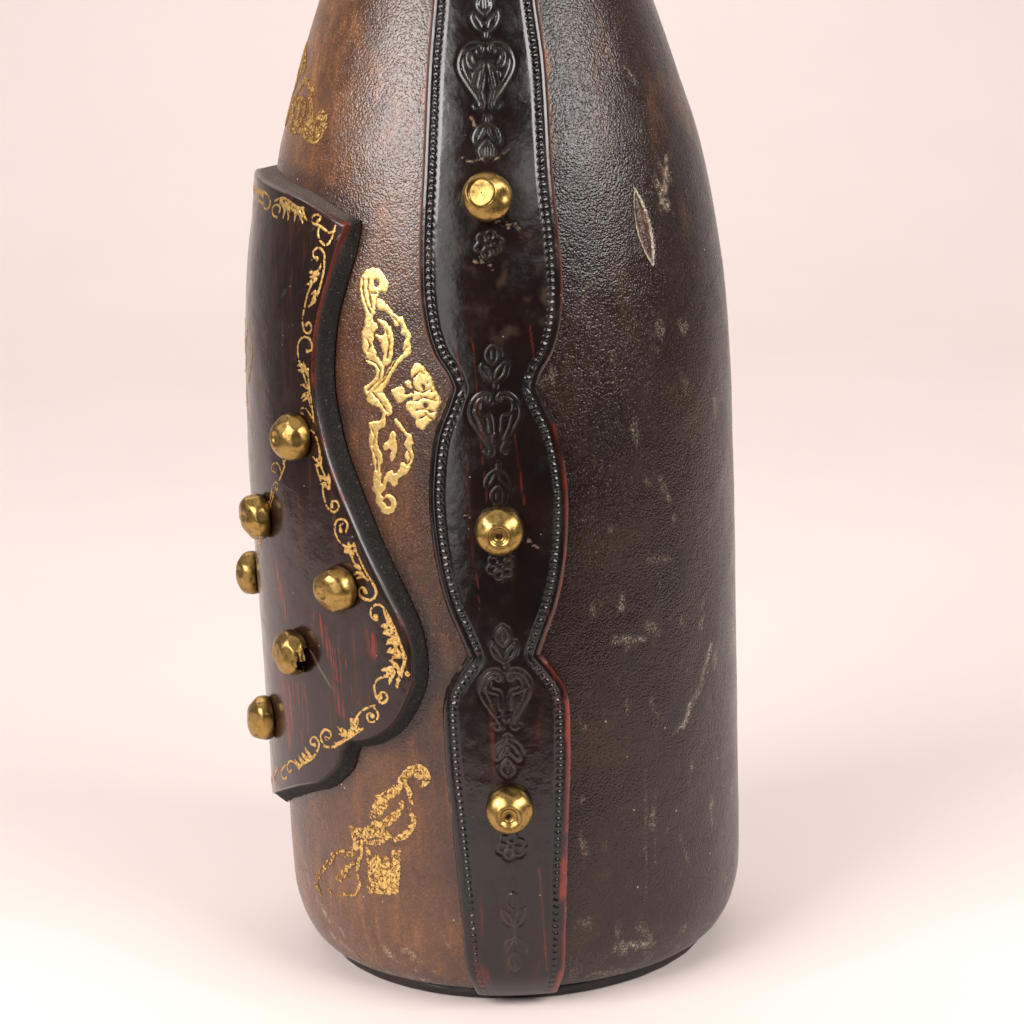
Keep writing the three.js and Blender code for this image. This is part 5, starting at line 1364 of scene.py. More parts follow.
BORDER = [
    [(11.82, 154.66, 0.22), (19.91, 154.56, 0.22), (23.84, 153.67, 0.17), (24.56, 152.13, 0.17), (22.31, 151.35, 0.17), (20.69, 152.06, 0.22)],
    [(13.28, 154.63, 0.31), (19.29, 154.19, 0.39), (20.46, 153.32, 0.17)],
    [(16.46, 152.83, 0.22), (20.97, 152.25, 0.22)],
    [(29.1, 151.18, 0.26), (29.4, 151.97, 0.17), (27.51, 152.42, 0.17), (25.94, 151.67, 0.17), (26.44, 150.48, 0.17), (28.3, 150.1, 0.20)],
    [(26.78, 153.08, 0.17), (30.2, 153.71, 0.22), (33.15, 152.94, 0.26), (35.81, 152.07, 0.26), (37.63, 152.12, 0.22)],
    [(29.47, 153.26, 0.35), (31.12, 151.85, 0.35), (30.75, 150.13, 0.17)],
    [(31.76, 152.81, 0.39), (32.77, 151.31, 0.39), (32.58, 149.68, 0.17)],
    [(33.53, 152.35, 0.39), (35.1, 151.12, 0.35), (34.74, 149.75, 0.17)],
    [(35.51, 151.9, 0.35), (36.83, 150.75, 0.35), (37.53, 149.41, 0.17)],
    [(37.34, 151.94, 0.31), (37.71, 150.85, 0.31), (38.93, 149.87, 0.13)],
    [(30.22, 153.45, 0.22), (28.87, 152.33, 0.13)],
    [(42.04, 149.86, 0.31), (42.78, 150.54, 0.17), (41.71, 151.03, 0.17), (40.4, 150.58, 0.17), (40.61, 149.49, 0.17), (42.35, 149.11, 0.22), (43.79, 148.47, 0.22), (45.18, 147.83, 0.17), (46.34, 148.27, 0.17)],
    [(42.48, 149.03, 0.17), (42.22, 147.6, 0.22), (43.1, 146.28, 0.22), (44.63, 145.73, 0.22), (45.65, 146.42, 0.22), (46.35, 148.1, 0.22), (46.64, 149.11, 0.17)],
    [(42.36, 143.16, 0.35), (41.44, 143.55, 0.17), (41.24, 144.38, 0.17), (42.2, 145.08, 0.17), (43.48, 144.87, 0.22), (44.3, 143.8, 0.22), (44.31, 141.62, 0.22), (43.82, 139.25, 0.22), (43.06, 137.12, 0.22), (42.13, 135.3, 0.17)],
    [(43.66, 142.28, 0.17), (42.64, 140.73, 0.26), (41.47, 138.91, 0.22), (40.39, 137.09, 0.17), (39.56, 134.66, 0.17), (38.95, 132.15, 0.17), (39.38, 130.21, 0.17), (40.57, 129.68, 0.17), (41.46, 130.59, 0.17), (40.81, 131.66, 0.17), (39.9, 131.18, 0.26)],
    [(40.04, 140.97, 0.13), (41.37, 140.68, 0.31), (42.77, 140.56, 0.31)],
    [(39.38, 138.57, 0.13), (40.95, 138.89, 0.31), (42.32, 139.54, 0.31)],
    [(40.64, 139.81, 0.13), (42.04, 140.03, 0.26)],
    [(41.12, 135.17, 0.13), (41.85, 135.97, 0.31), (42.81, 137.19, 0.26)],
    [(40.37, 134.36, 0.13), (41.5, 135.19, 0.26)],
    [(42.18, 137.33, 0.22), (41.31, 136.79, 0.13)],
    [(40.32, 126.49, 0.31), (41.34, 126.65, 0.17), (41.6, 127.69, 0.17), (40.84, 128.76, 0.17), (39.26, 128.92, 0.17), (37.91, 127.88, 0.17), (37.62, 126.05, 0.17), (38.15, 124.27, 0.17), (38.93, 123.03, 0.22)],
    [(37.16, 123.68, 0.13), (38.41, 123.77, 0.31), (39.47, 123.07, 0.35)],
    [(37.68, 122.33, 0.13), (39.05, 122.69, 0.35), (40.51, 123.06, 0.22)],
    [(39.37, 124.53, 0.13), (39.61, 123.43, 0.31), (39.71, 122.48, 0.31)],
    [(40.15, 123.9, 0.17), (40.56, 120.99, 0.17), (40.94, 118.07, 0.17), (41.42, 114.98, 0.17), (41.47, 113.59, 0.13)],
    [(39.17, 122.27, 0.22), (39.78, 120.93, 0.17), (40.37, 119.59, 0.17)],
    [(38, 120.27, 0.13), (39.22, 120.1, 0.26), (40.25, 119.66, 0.26)],
    [(37.61, 117.88, 0.13), (39.13, 118.27, 0.26), (40.47, 118.81, 0.26)],
    [(38.81, 117.2, 0.13), (40.16, 117.92, 0.22)],
    [(40.18, 118.36, 0.17), (40.85, 116.24, 0.13)],
    [(38.54, 114.72, 0.22), (37.87, 115.01, 0.13), (38.32, 115.75, 0.13), (39.4, 115.85, 0.13), (40.16, 115.22, 0.13), (41.13, 114.26, 0.13)],
    [(40.63, 111.94, 0.17), (41.74, 111.26, 0.17), (42.52, 109.58, 0.17), (42.81, 107.69, 0.22), (42.6, 105.92, 0.26)],
    [(40.93, 107.24, 0.13), (41.78, 106.63, 0.26), (42.49, 106.08, 0.26)],
    [(43.26, 107.03, 0.13), (42.97, 106.04, 0.26)],
    [(41.6, 105.56, 0.13), (42.47, 105.73, 0.26)],
    [(42.85, 105.94, 0.22), (43.72, 104.18, 0.17), (44.25, 103.01, 0.17)],
    [(41.97, 105.42, 0.22), (42.27, 104.04, 0.17), (42.81, 102.87, 0.17)],
    [(31.87, 105.33, 0.13), (32.3, 104.31, 0.17), (31.34, 102.75, 0.17), (30.15, 101.33, 0.17)],
    [(28.6, 102.55, 0.17), (27.24, 102.9, 0.13), (27.74, 103.97, 0.13), (29.33, 104.46, 0.13), (30.56, 103.91, 0.13), (31, 102.8, 0.13)],
    [(32.88, 105.64, 0.13), (31.83, 104.7, 0.13)],
    [(14.43, 129.06, 0.13), (17.29, 127.2, 0.13), (18.06, 124.13, 0.13), (16.16, 120.73, 0.13), (13.73, 118.13, 0.13)],
    [(12.73, 128.06, 0.09), (11.33, 124.71, 0.09)],
    [(42.17, 103.45, 0.14), (43.32, 103.38, 0.32), (44.57, 103.32, 0.32)],
    [(42.46, 101.8, 0.14), (43.63, 102.2, 0.32), (44.84, 101.67, 0.32)],
    [(44.75, 104.54, 0.14), (44.93, 103.26, 0.32), (44.71, 101.56, 0.28)],
    [(43.34, 101.52, 0.23), (43.47, 99.75, 0.18), (44.21, 97.95, 0.18), (45.62, 97.16, 0.18), (46.87, 97.94, 0.18), (46.72, 99.14, 0.18), (45.52, 99.12, 0.18), (45.33, 98.16, 0.28)],
    [(47.15, 93.74, 0.32), (46.98, 94.67, 0.18), (47.73, 95.3, 0.14)],
    [(48.31, 93.76, 0.18), (48.8, 95.12, 0.18), (48.01, 95.99, 0.18), (46.59, 95.76, 0.18), (45.72, 94.44, 0.18), (46, 92.68, 0.18), (47.08, 91.38, 0.18), (48.54, 90.68, 0.23)],
    [(47.06, 89.59, 0.14), (48.15, 90.17, 0.37), (49.32, 90.57, 0.32)],
    [(48.52, 92, 0.14), (48.9, 91, 0.37), (49.4, 90.11, 0.37)],
    [(50.33, 92.17, 0.14), (49.92, 91.1, 0.37), (49.63, 90.13, 0.32)],
    [(48.04, 90.26, 0.18), (49.38, 89.82, 0.32), (50.16, 89.8, 0.14)],
    [(49.97, 91.76, 0.18), (50.41, 90.2, 0.18), (51.36, 88.12, 0.18), (52.51, 85.97, 0.18), (53.67, 84.28, 0.23), (54.15, 82.81, 0.23), (53.5, 81.62, 0.23), (52.19, 81.21, 0.23), (50.7, 81.82, 0.23), (50.44, 82.84, 0.18), (51.26, 83.49, 0.18), (51.86, 82.79, 0.37)],
    [(49.13, 89.52, 0.23), (49.99, 87.43, 0.18), (51.21, 86.04, 0.18), (52.55, 84.93, 0.18)],
    [(49.19, 87.26, 0.14), (50.23, 87.64, 0.32), (50.85, 87.04, 0.32)],
    [(49.42, 85.86, 0.14), (50.57, 86.26, 0.32), (51.43, 86.06, 0.32)],
    [(50.27, 85.09, 0.14), (51.52, 85.69, 0.28)],
    [(53.8, 78.23, 0.37), (53.97, 77.58, 0.18), (53.03, 77.87, 0.18), (52.69, 79.17, 0.18), (53.73, 80.41, 0.18), (55.29, 80.26, 0.18), (56.32, 78.64, 0.23), (57.22, 76.81, 0.23), (58.08, 74.5, 0.23), (58.94, 72.19, 0.23), (59.26, 70.88, 0.23)],
    [(55.55, 79.52, 0.18), (56.23, 77.21, 0.23), (56.82, 75.36, 0.23), (57.29, 73.11, 0.23), (58.39, 71.2, 0.23)],
    [(54.43, 76.67, 0.14), (55.47, 76.57, 0.37), (56.47, 76.28, 0.37)],
    [(54.75, 75.18, 0.14), (55.8, 75.37, 0.37), (56.9, 74.98, 0.32)],
    [(55.25, 73.22, 0.14), (56.31, 73.7, 0.37), (57.32, 73.59, 0.32)],
    [(55.48, 71.91, 0.14), (56.62, 72.01, 0.42), (57.92, 71.73, 0.37)],
    [(56.12, 70.63, 0.14), (57.48, 71.13, 0.42), (58.88, 71.14, 0.37)],
    [(56.67, 77.81, 0.23), (57.14, 75.48, 0.28), (57.8, 73.15, 0.28)],
    [(59.37, 70.98, 0.28), (58.75, 68.94, 0.28), (58.04, 66.97, 0.28), (57.23, 65.37, 0.18)],
    [(56.19, 70.06, 0.18), (57.46, 69.22, 0.32), (58.06, 67.45, 0.28)],
    [(54.39, 68.07, 0.18), (55.88, 68.41, 0.37), (57.34, 68.82, 0.32)],
    [(53.97, 66.49, 0.14), (55.49, 67.22, 0.37), (56.57, 67.99, 0.32)],
    [(55.88, 65.05, 0.14), (56.17, 66.52, 0.32), (56.77, 67.82, 0.32)],
    [(57.41, 65, 0.14), (57.6, 66.45, 0.28)],
    [(56.05, 67.95, 0.23), (54.73, 66.86, 0.18), (53.42, 66.24, 0.18), (52.57, 64.9, 0.18), (52.78, 63.09, 0.23), (53.88, 61.67, 0.23), (55.09, 62.48, 0.23), (54.95, 63.62, 0.18), (53.9, 63.7, 0.18), (53.63, 62.8, 0.42)],
    [(59.49, 67.84, 0.37), (59.63, 67.76, 0.37)],
    [(52.44, 61.12, 0.14), (50.84, 60.44, 0.18), (49.18, 59.44, 0.18), (48.17, 58.32, 0.18)],
    [(51.75, 58.91, 0.37), (51.11, 59.41, 0.18), (50.5, 58.65, 0.18), (51, 57.74, 0.18), (52.24, 58, 0.18), (53.07, 59.07, 0.18), (52.7, 60.09, 0.18), (52.19, 60.61, 0.14)],
    [(46.22, 58.03, 0.14), (47.02, 57.27, 0.42), (47.05, 56.01, 0.42)],
    [(48.2, 58.72, 0.14), (47.98, 57.42, 0.42), (47.15, 55.83, 0.42)],
    [(49.43, 56.36, 0.14), (47.99, 55.86, 0.37), (46.23, 54.8, 0.37)],
    [(42.99, 55.63, 0.14), (44.24, 55.06, 0.37), (45.46, 54.48, 0.37)],
    [(43.52, 54.15, 0.18), (45.19, 54.24, 0.37), (46.89, 55.49, 0.37)],
    [(49.42, 56.16, 0.18), (46.42, 54.15, 0.23), (44.05, 52.67, 0.23), (42.39, 51.57, 0.23), (39.98, 50.91, 0.23), (38.59, 51.52, 0.23), (38.44, 53.08, 0.23), (39.72, 54.33, 0.23), (41.11, 54.1, 0.23), (41.01, 52.99, 0.18), (39.86, 52.67, 0.32)],
    [(44.87, 53.4, 0.18), (43.25, 52.42, 0.18), (41.61, 52.02, 0.14)],
    [(36.2, 50.52, 0.32), (35.06, 50.47, 0.18), (34.99, 51.35, 0.18), (36.37, 52.25, 0.18), (37.47, 51.59, 0.23), (37.6, 50.62, 0.23), (35.98, 48.37, 0.23), (33.28, 46.55, 0.23), (30.95, 45.27, 0.18), (29.84, 44.18, 0.18)],
    [(32.55, 49.49, 0.14), (33.33, 48.57, 0.37), (34.62, 47.87, 0.37)],
    [(31.13, 48.35, 0.14), (32.14, 47.48, 0.37), (33.51, 47, 0.37)],
    [(29.38, 46.9, 0.14), (30.89, 46.37, 0.32), (31.97, 46.03, 0.32)],
    [(27.71, 45.46, 0.14), (29.57, 45.23, 0.28), (30.72, 45.01, 0.28)],
    [(30.04, 44.23, 0.18), (28.52, 45.06, 0.18), (26.28, 44.88, 0.18), (24.59, 43.39, 0.18), (25.43, 42.4, 0.18), (26.72, 43.16, 0.23)],
    [(23.53, 43.3, 0.18), (20.78, 41.07, 0.18), (21.82, 40.03, 0.18), (23.92, 40.84, 0.23)],
    [(18.4, 41.3, 0.18), (14.97, 38.38, 0.18), (17.07, 37.46, 0.14)],
    [(13.36, 38.71, 0.14), (14.09, 37.37, 0.14)],
]
head = inset_path(angle_of(13.0, 156.5), 1, 2.9)
foot = inset_path(angle_of(12.0, 35.0), angle_of(1.0, 32.0), 2.6)
rng = np.random.default_rng(217)


def lobe(q):
    """A short pointed leaf bent to one side, where the stroke is one; other strokes stay."""
    q = np.array(q, float)
    if len(q) == 3 and q[0, 2] < 0.15:
        e = q[0, :2] - q[1, :2]
        q[0, :2] = q[1, :2] + e * rng.uniform(0.62, 0.95) + np.array([-e[1], e[0]]) * rng.uniform(-0.35, 0.35)
        q[0, 2] = 0.05
    return q


lines = [lobe(q) for q in BORDER]
lines = [curve(q, 0.25) if len(q) > 2 else q for q in lines]
lines = [np.column_stack([q[:, :2], 1.2 * q[:, 2] + 0.45 * np.maximum(q[:, 2] - 0.22, 0)]) for q in lines]
lines += lay_units(head, 0.4, 17.2, 1, 0.62) + lay_units(foot, 0.4, 17.2, 1, 0.55)
vee = curve([(40.0 * DEG * RS, 106.8), (32 * DEG * RS, 99.0), (23 * DEG * RS, 89.5), (12 * DEG * RS, 81.5), (3 * DEG * RS, 76)], 0.4)
lines += lay_units(vee, 8.0, 13.0, 2, 0.62)
# a plain palmette on the middle of the upper field
for a, b, c in ((0, 9.5, 1.5), (22, 8.6, 1.5), (45, 7.4, 1.5), (68, 6.2, 1.4), (90, 4.8, 1.2)):
    e, n = np.array([math.sin(a * DEG), math.cos(a * DEG)]), np.array([math.cos(a * DEG), -math.sin(a * DEG)])
    for sgn in ((1, -1) if a else (1, -1)):
        q = [np.array([0, 124.0]) + e * 1.5, np.array([0, 124.0]) + e * b * 0.6 + sgn * n * c * 0.7, np.array([0, 124.0]) + e * b]
        lines.append(curve([(*v, 0.2) for v in q], 0.3))
lines.append(curve([(0.3, 123, 0.3), (4, 119.5, 0.25), (8.5, 119.5, 0.25), (11.5, 122.5, 0.22), (10.5, 126, 0.22), (7.8, 125.5, 0.22), (8.2, 123.2, 0.3)], 0.3))
lines.append(curve([(0.3, 122, 0.3), (3, 116, 0.25), (7, 112.5, 0.22), (10, 114, 0.22), (9.4, 116.6, 0.3)], 0.3))
lines.append(curve([(0, 122, 0.3), (0, 110, 0.15)], 0.3))
lines += [q * [-1, 1, 1] for q in lines]

xs, ys = np.arange(-62, 62.1, 0.19), np.arange(28, 160, 0.19)
d = capsules(xs, ys, lines, 0.8)
X, Y = np.meshgrid(xs, ys)
f = -d + 0.09 * noise(flat(X, Y), 0.6, 211)
wear = 0.5 + 0.5 * noise(flat(X, Y), 3.5, 213)
f = np.minimum(f, wear)
BX, BY = np.meshgrid(xs, ys)
f = np.minimum(f, 0.3 * (0.46 - noise(flat(BX, BY), 0.5, 219)))
leaf("gilt_shield_border", f, xs, ys, lambda x, y, h: on_shield(x, y, FACE(y) + h + 0.03 + 0.10 * fbm(on_shield(x, y, FACE(y)), 20, 71) + 0.03 * fbm(on_shield(x, y, FACE(y)), 4, 72)), 0.05, lambda q: 0.9 * smooth(0.1, 0.4, noise(flat(q[:, 0], q[:, 1]), 0.36, 221)))

# ------------------------------------------------------------------ studs

def stud_shape(seed, hole=None, torn=False, crown=2.1, off=None, tilt=(0.0, 0.0), hammered=False, dent=None):
    """A hollow dome standing on z = 0: a flat crown, a rusted crater where hole is given, or flats all over where hammered."""
    rng = np.random.default_rng(seed)
    c0 = crown
    side = [(3.1, 0.0), (4.0, 0.04), (4.33, 0.5), (4.45, 1.3), (4.38, 2.1), (4.1, 2.9), (3.6, 3.55), (3.0, 4.05)]
    if hole:
        head = [(c0 + 0.35, 4.36), (c0 + 0.08, 4.54), (c0 - 0.14, 4.57), (c0 - 0.42, 4.42), (c0 * 0.62, 4.06), (c0 * 0.48, 4.02), (c0 * 0.36, 3.86), (0.14, 3.70)]
    elif hammered:
        head = [(2.4, 4.34), (1.7, 4.52), (0.9, 4.59), (0.14, 4.60)]
    else:
        head = [(c0 + 0.40, 4.34), (c0 + 0.14, 4.38), (c0 + 0.03, 4.52), (c0 - 0.16, 4.58), (c0 * 0.55, 4.54), (c0 * 0.3, 4.53), (0.14, 4.53)]
    prof = curve(side + head, 0.13)
    t = np.linspace(0, 2 * np.pi, 88, endpoint=False)
    r, z = prof[:, :1], prof[:, 1:]
    pts = np.stack([r * np.cos(t), r * np.sin(t), z + 0 * t], -1)
    c = np.array([0, 0, 1.5])
    off = np.asarray(off if off is not None else rng.uniform(-0.6, 0.6, 2), float)
    lift = smooth(2.2, 4.3, pts[..., 2]) + 0 * pts[..., 0]
    lift = np.where(np.arange(len(prof))[:, None] > np.argmax(prof[:, 1] > 4.3), 1.0, lift)
    pts[..., 0] += off[0] * lift
    pts[..., 1] += off[1] * lift
    flatten_ = smooth(c0 + 0.5, c0 - 0.1, r) * (z > 3.2)
    pts[..., 2] += flatten_ * (tilt[0] * (pts[..., 0] - off[0]) + tilt[1] * (pts[..., 1] - off[1]) - math.hypot(*tilt) * c0)
    for _ in range(7):
        a, b = rng.uniform(0, 2 * np.pi), rng.uniform(-0.1, 0.9)
        n = np.array([math.cos(a) * math.cos(b), math.sin(a) * math.cos(b), math.sin(b)])
        at = c + n * (4.4 - 1.2 * math.sin(max(b, 0)))
        d = np.linalg.norm(pts - at, axis=-1)
        pts = pts - n * (rng.uniform(0.08, 0.34) * np.exp(-((d / rng.uniform(0.8, 1.6)) ** 2)))[..., None]
    if hammered:
        for q in range(10):
            a, b = q * 2.4 + rng.uniform(-0.4, 0.4), math.asin(min(1.0, 0.12 + 0.096 * q))
            n = np.array([math.cos(a) * math.cos(b), math.sin(a) * math.cos(b), math.sin(b)])
            over = (pts - c) @ n
            over = over - over.max() + rng.uniform(0.10, 0.30)
            pts = pts - n * (0.45 * (over + np.sqrt(over**2 + 0.006)))[..., None]
    if dent:
        a, b, deep, wide = dent
        n = np.array([math.cos(a) * math.cos(b), math.sin(a) * math.cos(b), math.sin(b)])
        at = pts.reshape(-1, 3)[np.argmax(((pts - c) / np.linalg.norm(pts - c, axis=-1)[..., None] @ n).ravel())]
        pts = pts - n * (deep * np.exp(-((np.linalg.norm(pts - at, axis=-1) / wide) ** 4)))[..., None]
    pts += (0.03 * noise(pts + seed * 7.1, 1.3, seed))[..., None] * (pts - c) / 4.5
    pts[..., 2] = np.maximum(pts[..., 2], 0.0)
    inner = c * [1, 1, 0.8] + (pts - c) * 0.91
    inner[..., 2] = np.clip(inner[..., 2] - 0.05, 0.12, None)
    keep = np.ones((len(prof) - 1, 88), bool)
    rad = np.hypot(pts[..., 0] - off[0], pts[..., 1] - off[1])
    low = pts[:-1, :, 2]
    if hole:
        keep &= ~((rad[:-1] < hole * (1 + 0.45 * noise(pts[:-1] + seed, 0.8, seed))) & (low > 3))
    if torn:
        wide = 0.78 - 0.12 * low + 0.2 * noise(np.stack([0 * low, low, 0 * low], -1), 0.9, seed) + 0.2 * noise(pts[:-1], 0.5, seed)
        near = np.abs((t[None, :] + 0.34 + np.pi) % (2 * np.pi) - np.pi)
        keep &= ~((near < wide) & (low < 2.75 + 0.5 * noise(pts[:-1], 0.9, seed + 1)) & (np.arange(len(prof) - 1)[:, None] < len(prof) // 2))
    verts, faces = shell(pts, inner, wrap=True, keep=keep)
    parts = [(0, (verts, [faces]))]
    step = np.exp(-(((rad - crown - 0.16) / 0.16) ** 2)) * (pts[..., 2] > 3) * (not hammered)
    grime = 0.5 * smooth(2.0, 0.2, pts[..., 2]) + 0.5 * step + 0.22 * smooth(0.2, 0.7, fbm(pts + seed * 3.3, 2.2, seed))
    if hole:
        grime = grime + 0.65 * smooth(hole + 0.8, hole - 0.1, rad) * (pts[..., 2] > 3)
    grime = np.concatenate([np.clip(grime, 0, 1).ravel(), np.ones(inner.size // 3)])
    if torn:
        # a tongue of the torn wall bent outward
        row = np.nonzero((pts[:, 3, 2] > 1.3) & (pts[:, 3, 2] < 2.5) & (np.arange(len(pts)) < np.argmax(pts[:, 3, 2])))[0]
        tongue = pts[row[0] : row[-1] + 1][:, np.arange(-2, 7)]
        bend = np.linspace(0.9, 0.0, 9)[None, :, None] ** 1.5 * (0.75 + 0.25 * noise(tongue, 0.7, seed)[..., None])
        outward = (tongue - c) / np.linalg.norm(tongue - c, axis=-1)[..., None]
        tongue = tongue + outward * bend
        flap = shell(tongue, tongue - outward * 0.24)
        parts.append((0, (flap[0], [flap[1]])))
        grime = np.concatenate([grime, np.full(len(flap[0]), 0.55)])
    slim = 0.62 if torn else 1.0
    core = lathe(curve([(0, 0.12), (2.0 * slim, 0.12), (3.2 * slim, 0.12), (3.2 * slim, 1.2), (2.5 * slim, 2.7), (1.4 * slim, 3.25), (0, 3.3)], 0.35), 28)
    parts.append((1, (core[0], [core[1], core[2]])))
    return parts, grime


def stud(name, node, at, out, up, seed, body="bottle", **kw):
    parts, grime = stud_shape(seed, **kw)
    e3 = np.array(out, float) / np.linalg.norm(out)
    e1 = np.cross(up, e3)
    e1 /= np.linalg.norm(e1)
    e2 = np.cross(e3, e1)
    m = np.stack([e1, e2, e3], 0)
    parts = [(k, (v @ m + np.asarray(at), f)) for k, (v, f) in parts]
    build(name, parts, [BRASS, RUST], body, node, {"grime": grime}, 38)


def strap_stud(name, node, phi, z, seed, **kw):
    nr, nz = normal(np.array(z))
    out = (float(nr) * math.cos(phi), float(nr) * math.sin(phi), float(nz))
    at = on_body(np.array(phi), np.array(z), STRAP_H + 0.08)
    stud(name, node, at, out, (0, 0, 1), seed, **kw)


for side_name, phi, base in (("right", 0.0, 301), ("left", math.pi, 341)):
    for k, (label, z, kw) in enumerate((("upper", 153.05, {"crown": 2.2, "off": (-0.95, 0.5), "tilt": (0.24, 0.0)}), ("middle", 94.75, {"hole": 0.6, "crown": 2.1, "off": (0, -0.45)}), ("lower", 42.2, {"hole": 0.5, "crown": 2.15, "off": (-0.1, -0.35)}))):
        node = f"{side_name}_strap_stud_{label}"
        strap_stud(node + "_dome", node, phi, z, base + k, **kw)

SHIELD_STUDS = [
    (0, 77), (25.4, 93.1), (-25.4, 93.1), (42.7, 110.4), (-42.7, 110.4), (17.5, 50.9), (-17.5, 50.9), (37.8, 68.5), (-37.8, 68.5), (53.6, 82.9), (-53.6, 82.9),
]
for k, (deg, z) in enumerate(SHIELD_STUDS, 1):
    node = f"shield_stud_{k:02d}"
    a = -math.pi / 2 + deg * DEG
    slope = float((FACE(z + 1) - FACE(z - 1)) / 2)
    out = (math.cos(a), math.sin(a), -slope)
    r = float(FACE(np.array(float(z)))) + 0.06
    at = (r * math.cos(a), r * math.sin(a), z)
    stud(node + "_dome", node, at, out, (0, 0, 1), 400 + k, torn=(k == 8), hammered=True, dent={2: (0.6, 1.2, 0.4, 0.9), 4: (3.1, 1.25, 0.42, 1.0), 10: (3.6, 1.2, 0.55, 1.0)}.get(k))

# ------------------------------------------------------------------ sole, collar, bottle, stopper


def rough(amount, size, seed, keep_z=None):
    def f(p):
        q = p + (amount * fbm(p, size, seed))[..., None] * np.concatenate([p[..., :2] / np.maximum(np.hypot(p[..., 0], p[..., 1]), 1)[..., None], np.zeros(p.shape[:-1] + (1,))], -1)
        return q

    return f


v, q, t = lathe(
    [(0, 0.0), (8, 0.0), (18, 0.0), (28, 0.0), (36, 0.0), (38.3, 0.05), (39.0, 0.35), (39.25, 0.9), (39.3, 1.5), (39.05, 2.1), (38.5, 2.35), (33, 2.4), (20, 2.4), (8, 2.4), (0, 2.4)],
    240, rough(0.14, 3, 501),
)
build("base_sole_leather", [(0, (v, [q, t]))], [SOLE], "bottle", "base_sole")

cz = np.concatenate([[258.0], np.linspace(258.0, 271.9, 62), [271.9]])
ct = np.linspace(0, 2 * np.pi, 340, endpoint=False)
Zc, Tc = np.meshgrid(cz, ct, indexing="ij")
edge = np.minimum(Zc - 258.0, 271.9 - Zc)
hc = 2.25 - 0.8 * (1 - np.sqrt(np.clip(1 - (1 - np.clip(edge / 0.9, 0, 1)) ** 2, 0, 1)))
beads = 0
for row in (260.1, 269.8):
    a = ((Tc / (2 * np.pi) * 90) % 1 - 0.5) * 2 * np.pi * 20 / 90
    rho = np.hypot(Zc - row, a)
    beads = beads + 0.26 * np.exp(-(((rho - 0.42) / 0.17) ** 2))
zig = np.abs(((Tc / (2 * np.pi) * 18) % 1) - 0.5) * 2
wave = np.minimum(np.abs(Zc - (262.6 + 4.7 * zig)), np.abs(Zc - (267.3 - 4.7 * zig)))
hc = hc - beads - 0.22 * smooth(0.42, 0.0, wave)
hc[0] = hc[-1] = 0.35
pc = np.stack([18 * np.cos(Tc), 18 * np.sin(Tc), Zc], -1)
hc = hc + 0.05 * fbm(pc, 6, 511)
rc = 17.85 + hc
oc = np.stack([rc * np.cos(Tc), rc * np.sin(Tc), Zc], -1)
ic = np.stack([17.85 * np.cos(Tc), 17.85 * np.sin(Tc), Zc], -1)
v, f = shell(oc, ic, wrap=True)
redc = 0.6 * smooth(0.8, 0.1, edge) * smooth(0, 0.5, fbm(pc, 2, 515))
# painted shade in the bead rings and zigzag grooves
build("neck_collar_tooled", [(0, (v, [f]))], [STRAP], "bottle", "neck_collar", {"red": redc.ravel(), "cavity_shade": np.clip((beads * 2 + 0.5 * smooth(0.42, 0, wave)), 0, 1).ravel()}, 60)

# bottle: the outside runs up from the foot, over the lip and down the inside
go = [(z, BODY(z) - 2.55) for z in np.arange(6.5, 271, 3.0)]
outer = [(0, 12.5), (14, 11.0), (26, 7.4), (33, 4.6), (36.5, 4.0), (38.6, 4.6), (40.0, 5.6)] + [(r, z) for z, r in go if z > 6] + [(14.75, 274), (14.7, 282), (14.9, 284.6), (15.25, 285.6), (15.3, 288), (15.3, 292), (15.1, 293.6), (14.4, 294.6), (13.4, 295.2), (13.1, 297), (13.0, 300.2), (12.6, 301.4), (11.8, 301.95), (10.6, 301.9), (9.7, 301.3), (9.35, 300.2)]
inner = [(9.3, 298), (9.3, 290), (9.3, 282), (9.35, 276), (10.2, 270), (11.0, 262)] + [(BODY(z) - 2.55 - 3.4, z) for z in np.arange(256, 20, -3.0)] + [(38.5, 17), (36.0, 13.2), (31.5, 11.8), (24, 13.6), (14, 16.2), (0, 17.2)]
prof = [(float(a), float(b)) for a, b in outer + inner]
v, q, t = lathe(prof, 144, rough(0.06, 14, 521))
build("glass_bottle_clear", [(0, (v, [q, t]))], [GLASS], "bottle", "glass_bottle")


def pitted(p):
    h = fbm(p, 2.0, 531)
    return np.concatenate([p[..., :2] * (1 - 0.022 * np.maximum(h, 0)[..., None]), p[..., 2:]], -1)


cork = [(0, 278.0), (3, 278.0), (6, 278.0), (8.0, 278.05), (8.35, 278.4)] + [(8.4 + 0.55 * (z - 278.8) / 23, z) for z in np.linspace(278.8, 301.0, 46)] + [(8.9, 301.6), (8.5, 302.0), (5, 302.0), (2.4, 302.0), (2.35, 300.0), (2.35, 292.0), (2.3, 290.2), (0, 290.2)]
v, q, t = lathe(cork, 96, pitted)
build("stopper_cork_turned", [(0, (v, [q, t]))], [CORK], "stopper", "stopper_cork")
v, q, t = lathe([(0, 290.4), (1.6, 290.4), (1.95, 290.8), (1.97, 296), (1.95, 302), (1.97, 308), (1.95, 313.2), (1.6, 313.7), (0, 313.7)], 40, rough(0.03, 2, 541))
build("stopper_dowel_turned", [(0, (v, [q, t]))], [WOOD], "stopper", "stopper_dowel")
knob = curve([(2.3, 302.4), (8, 302.35), (12.6, 302.4), (13.8, 303.0), (14.5, 304.8), (14.7, 308.0), (14.5, 311.5), (13.5, 315.2), (11.2, 318.6), (7.5, 320.9), (3.5, 321.8), (0.3, 321.95)], 0.9)
v, q, t = lathe([(0, 314.1), (1.5, 314.1), (2.3, 314.0), (2.3, 308)] + [tuple(x) for x in knob] + [(0, 321.95)], 72, rough(0.05, 5, 551))
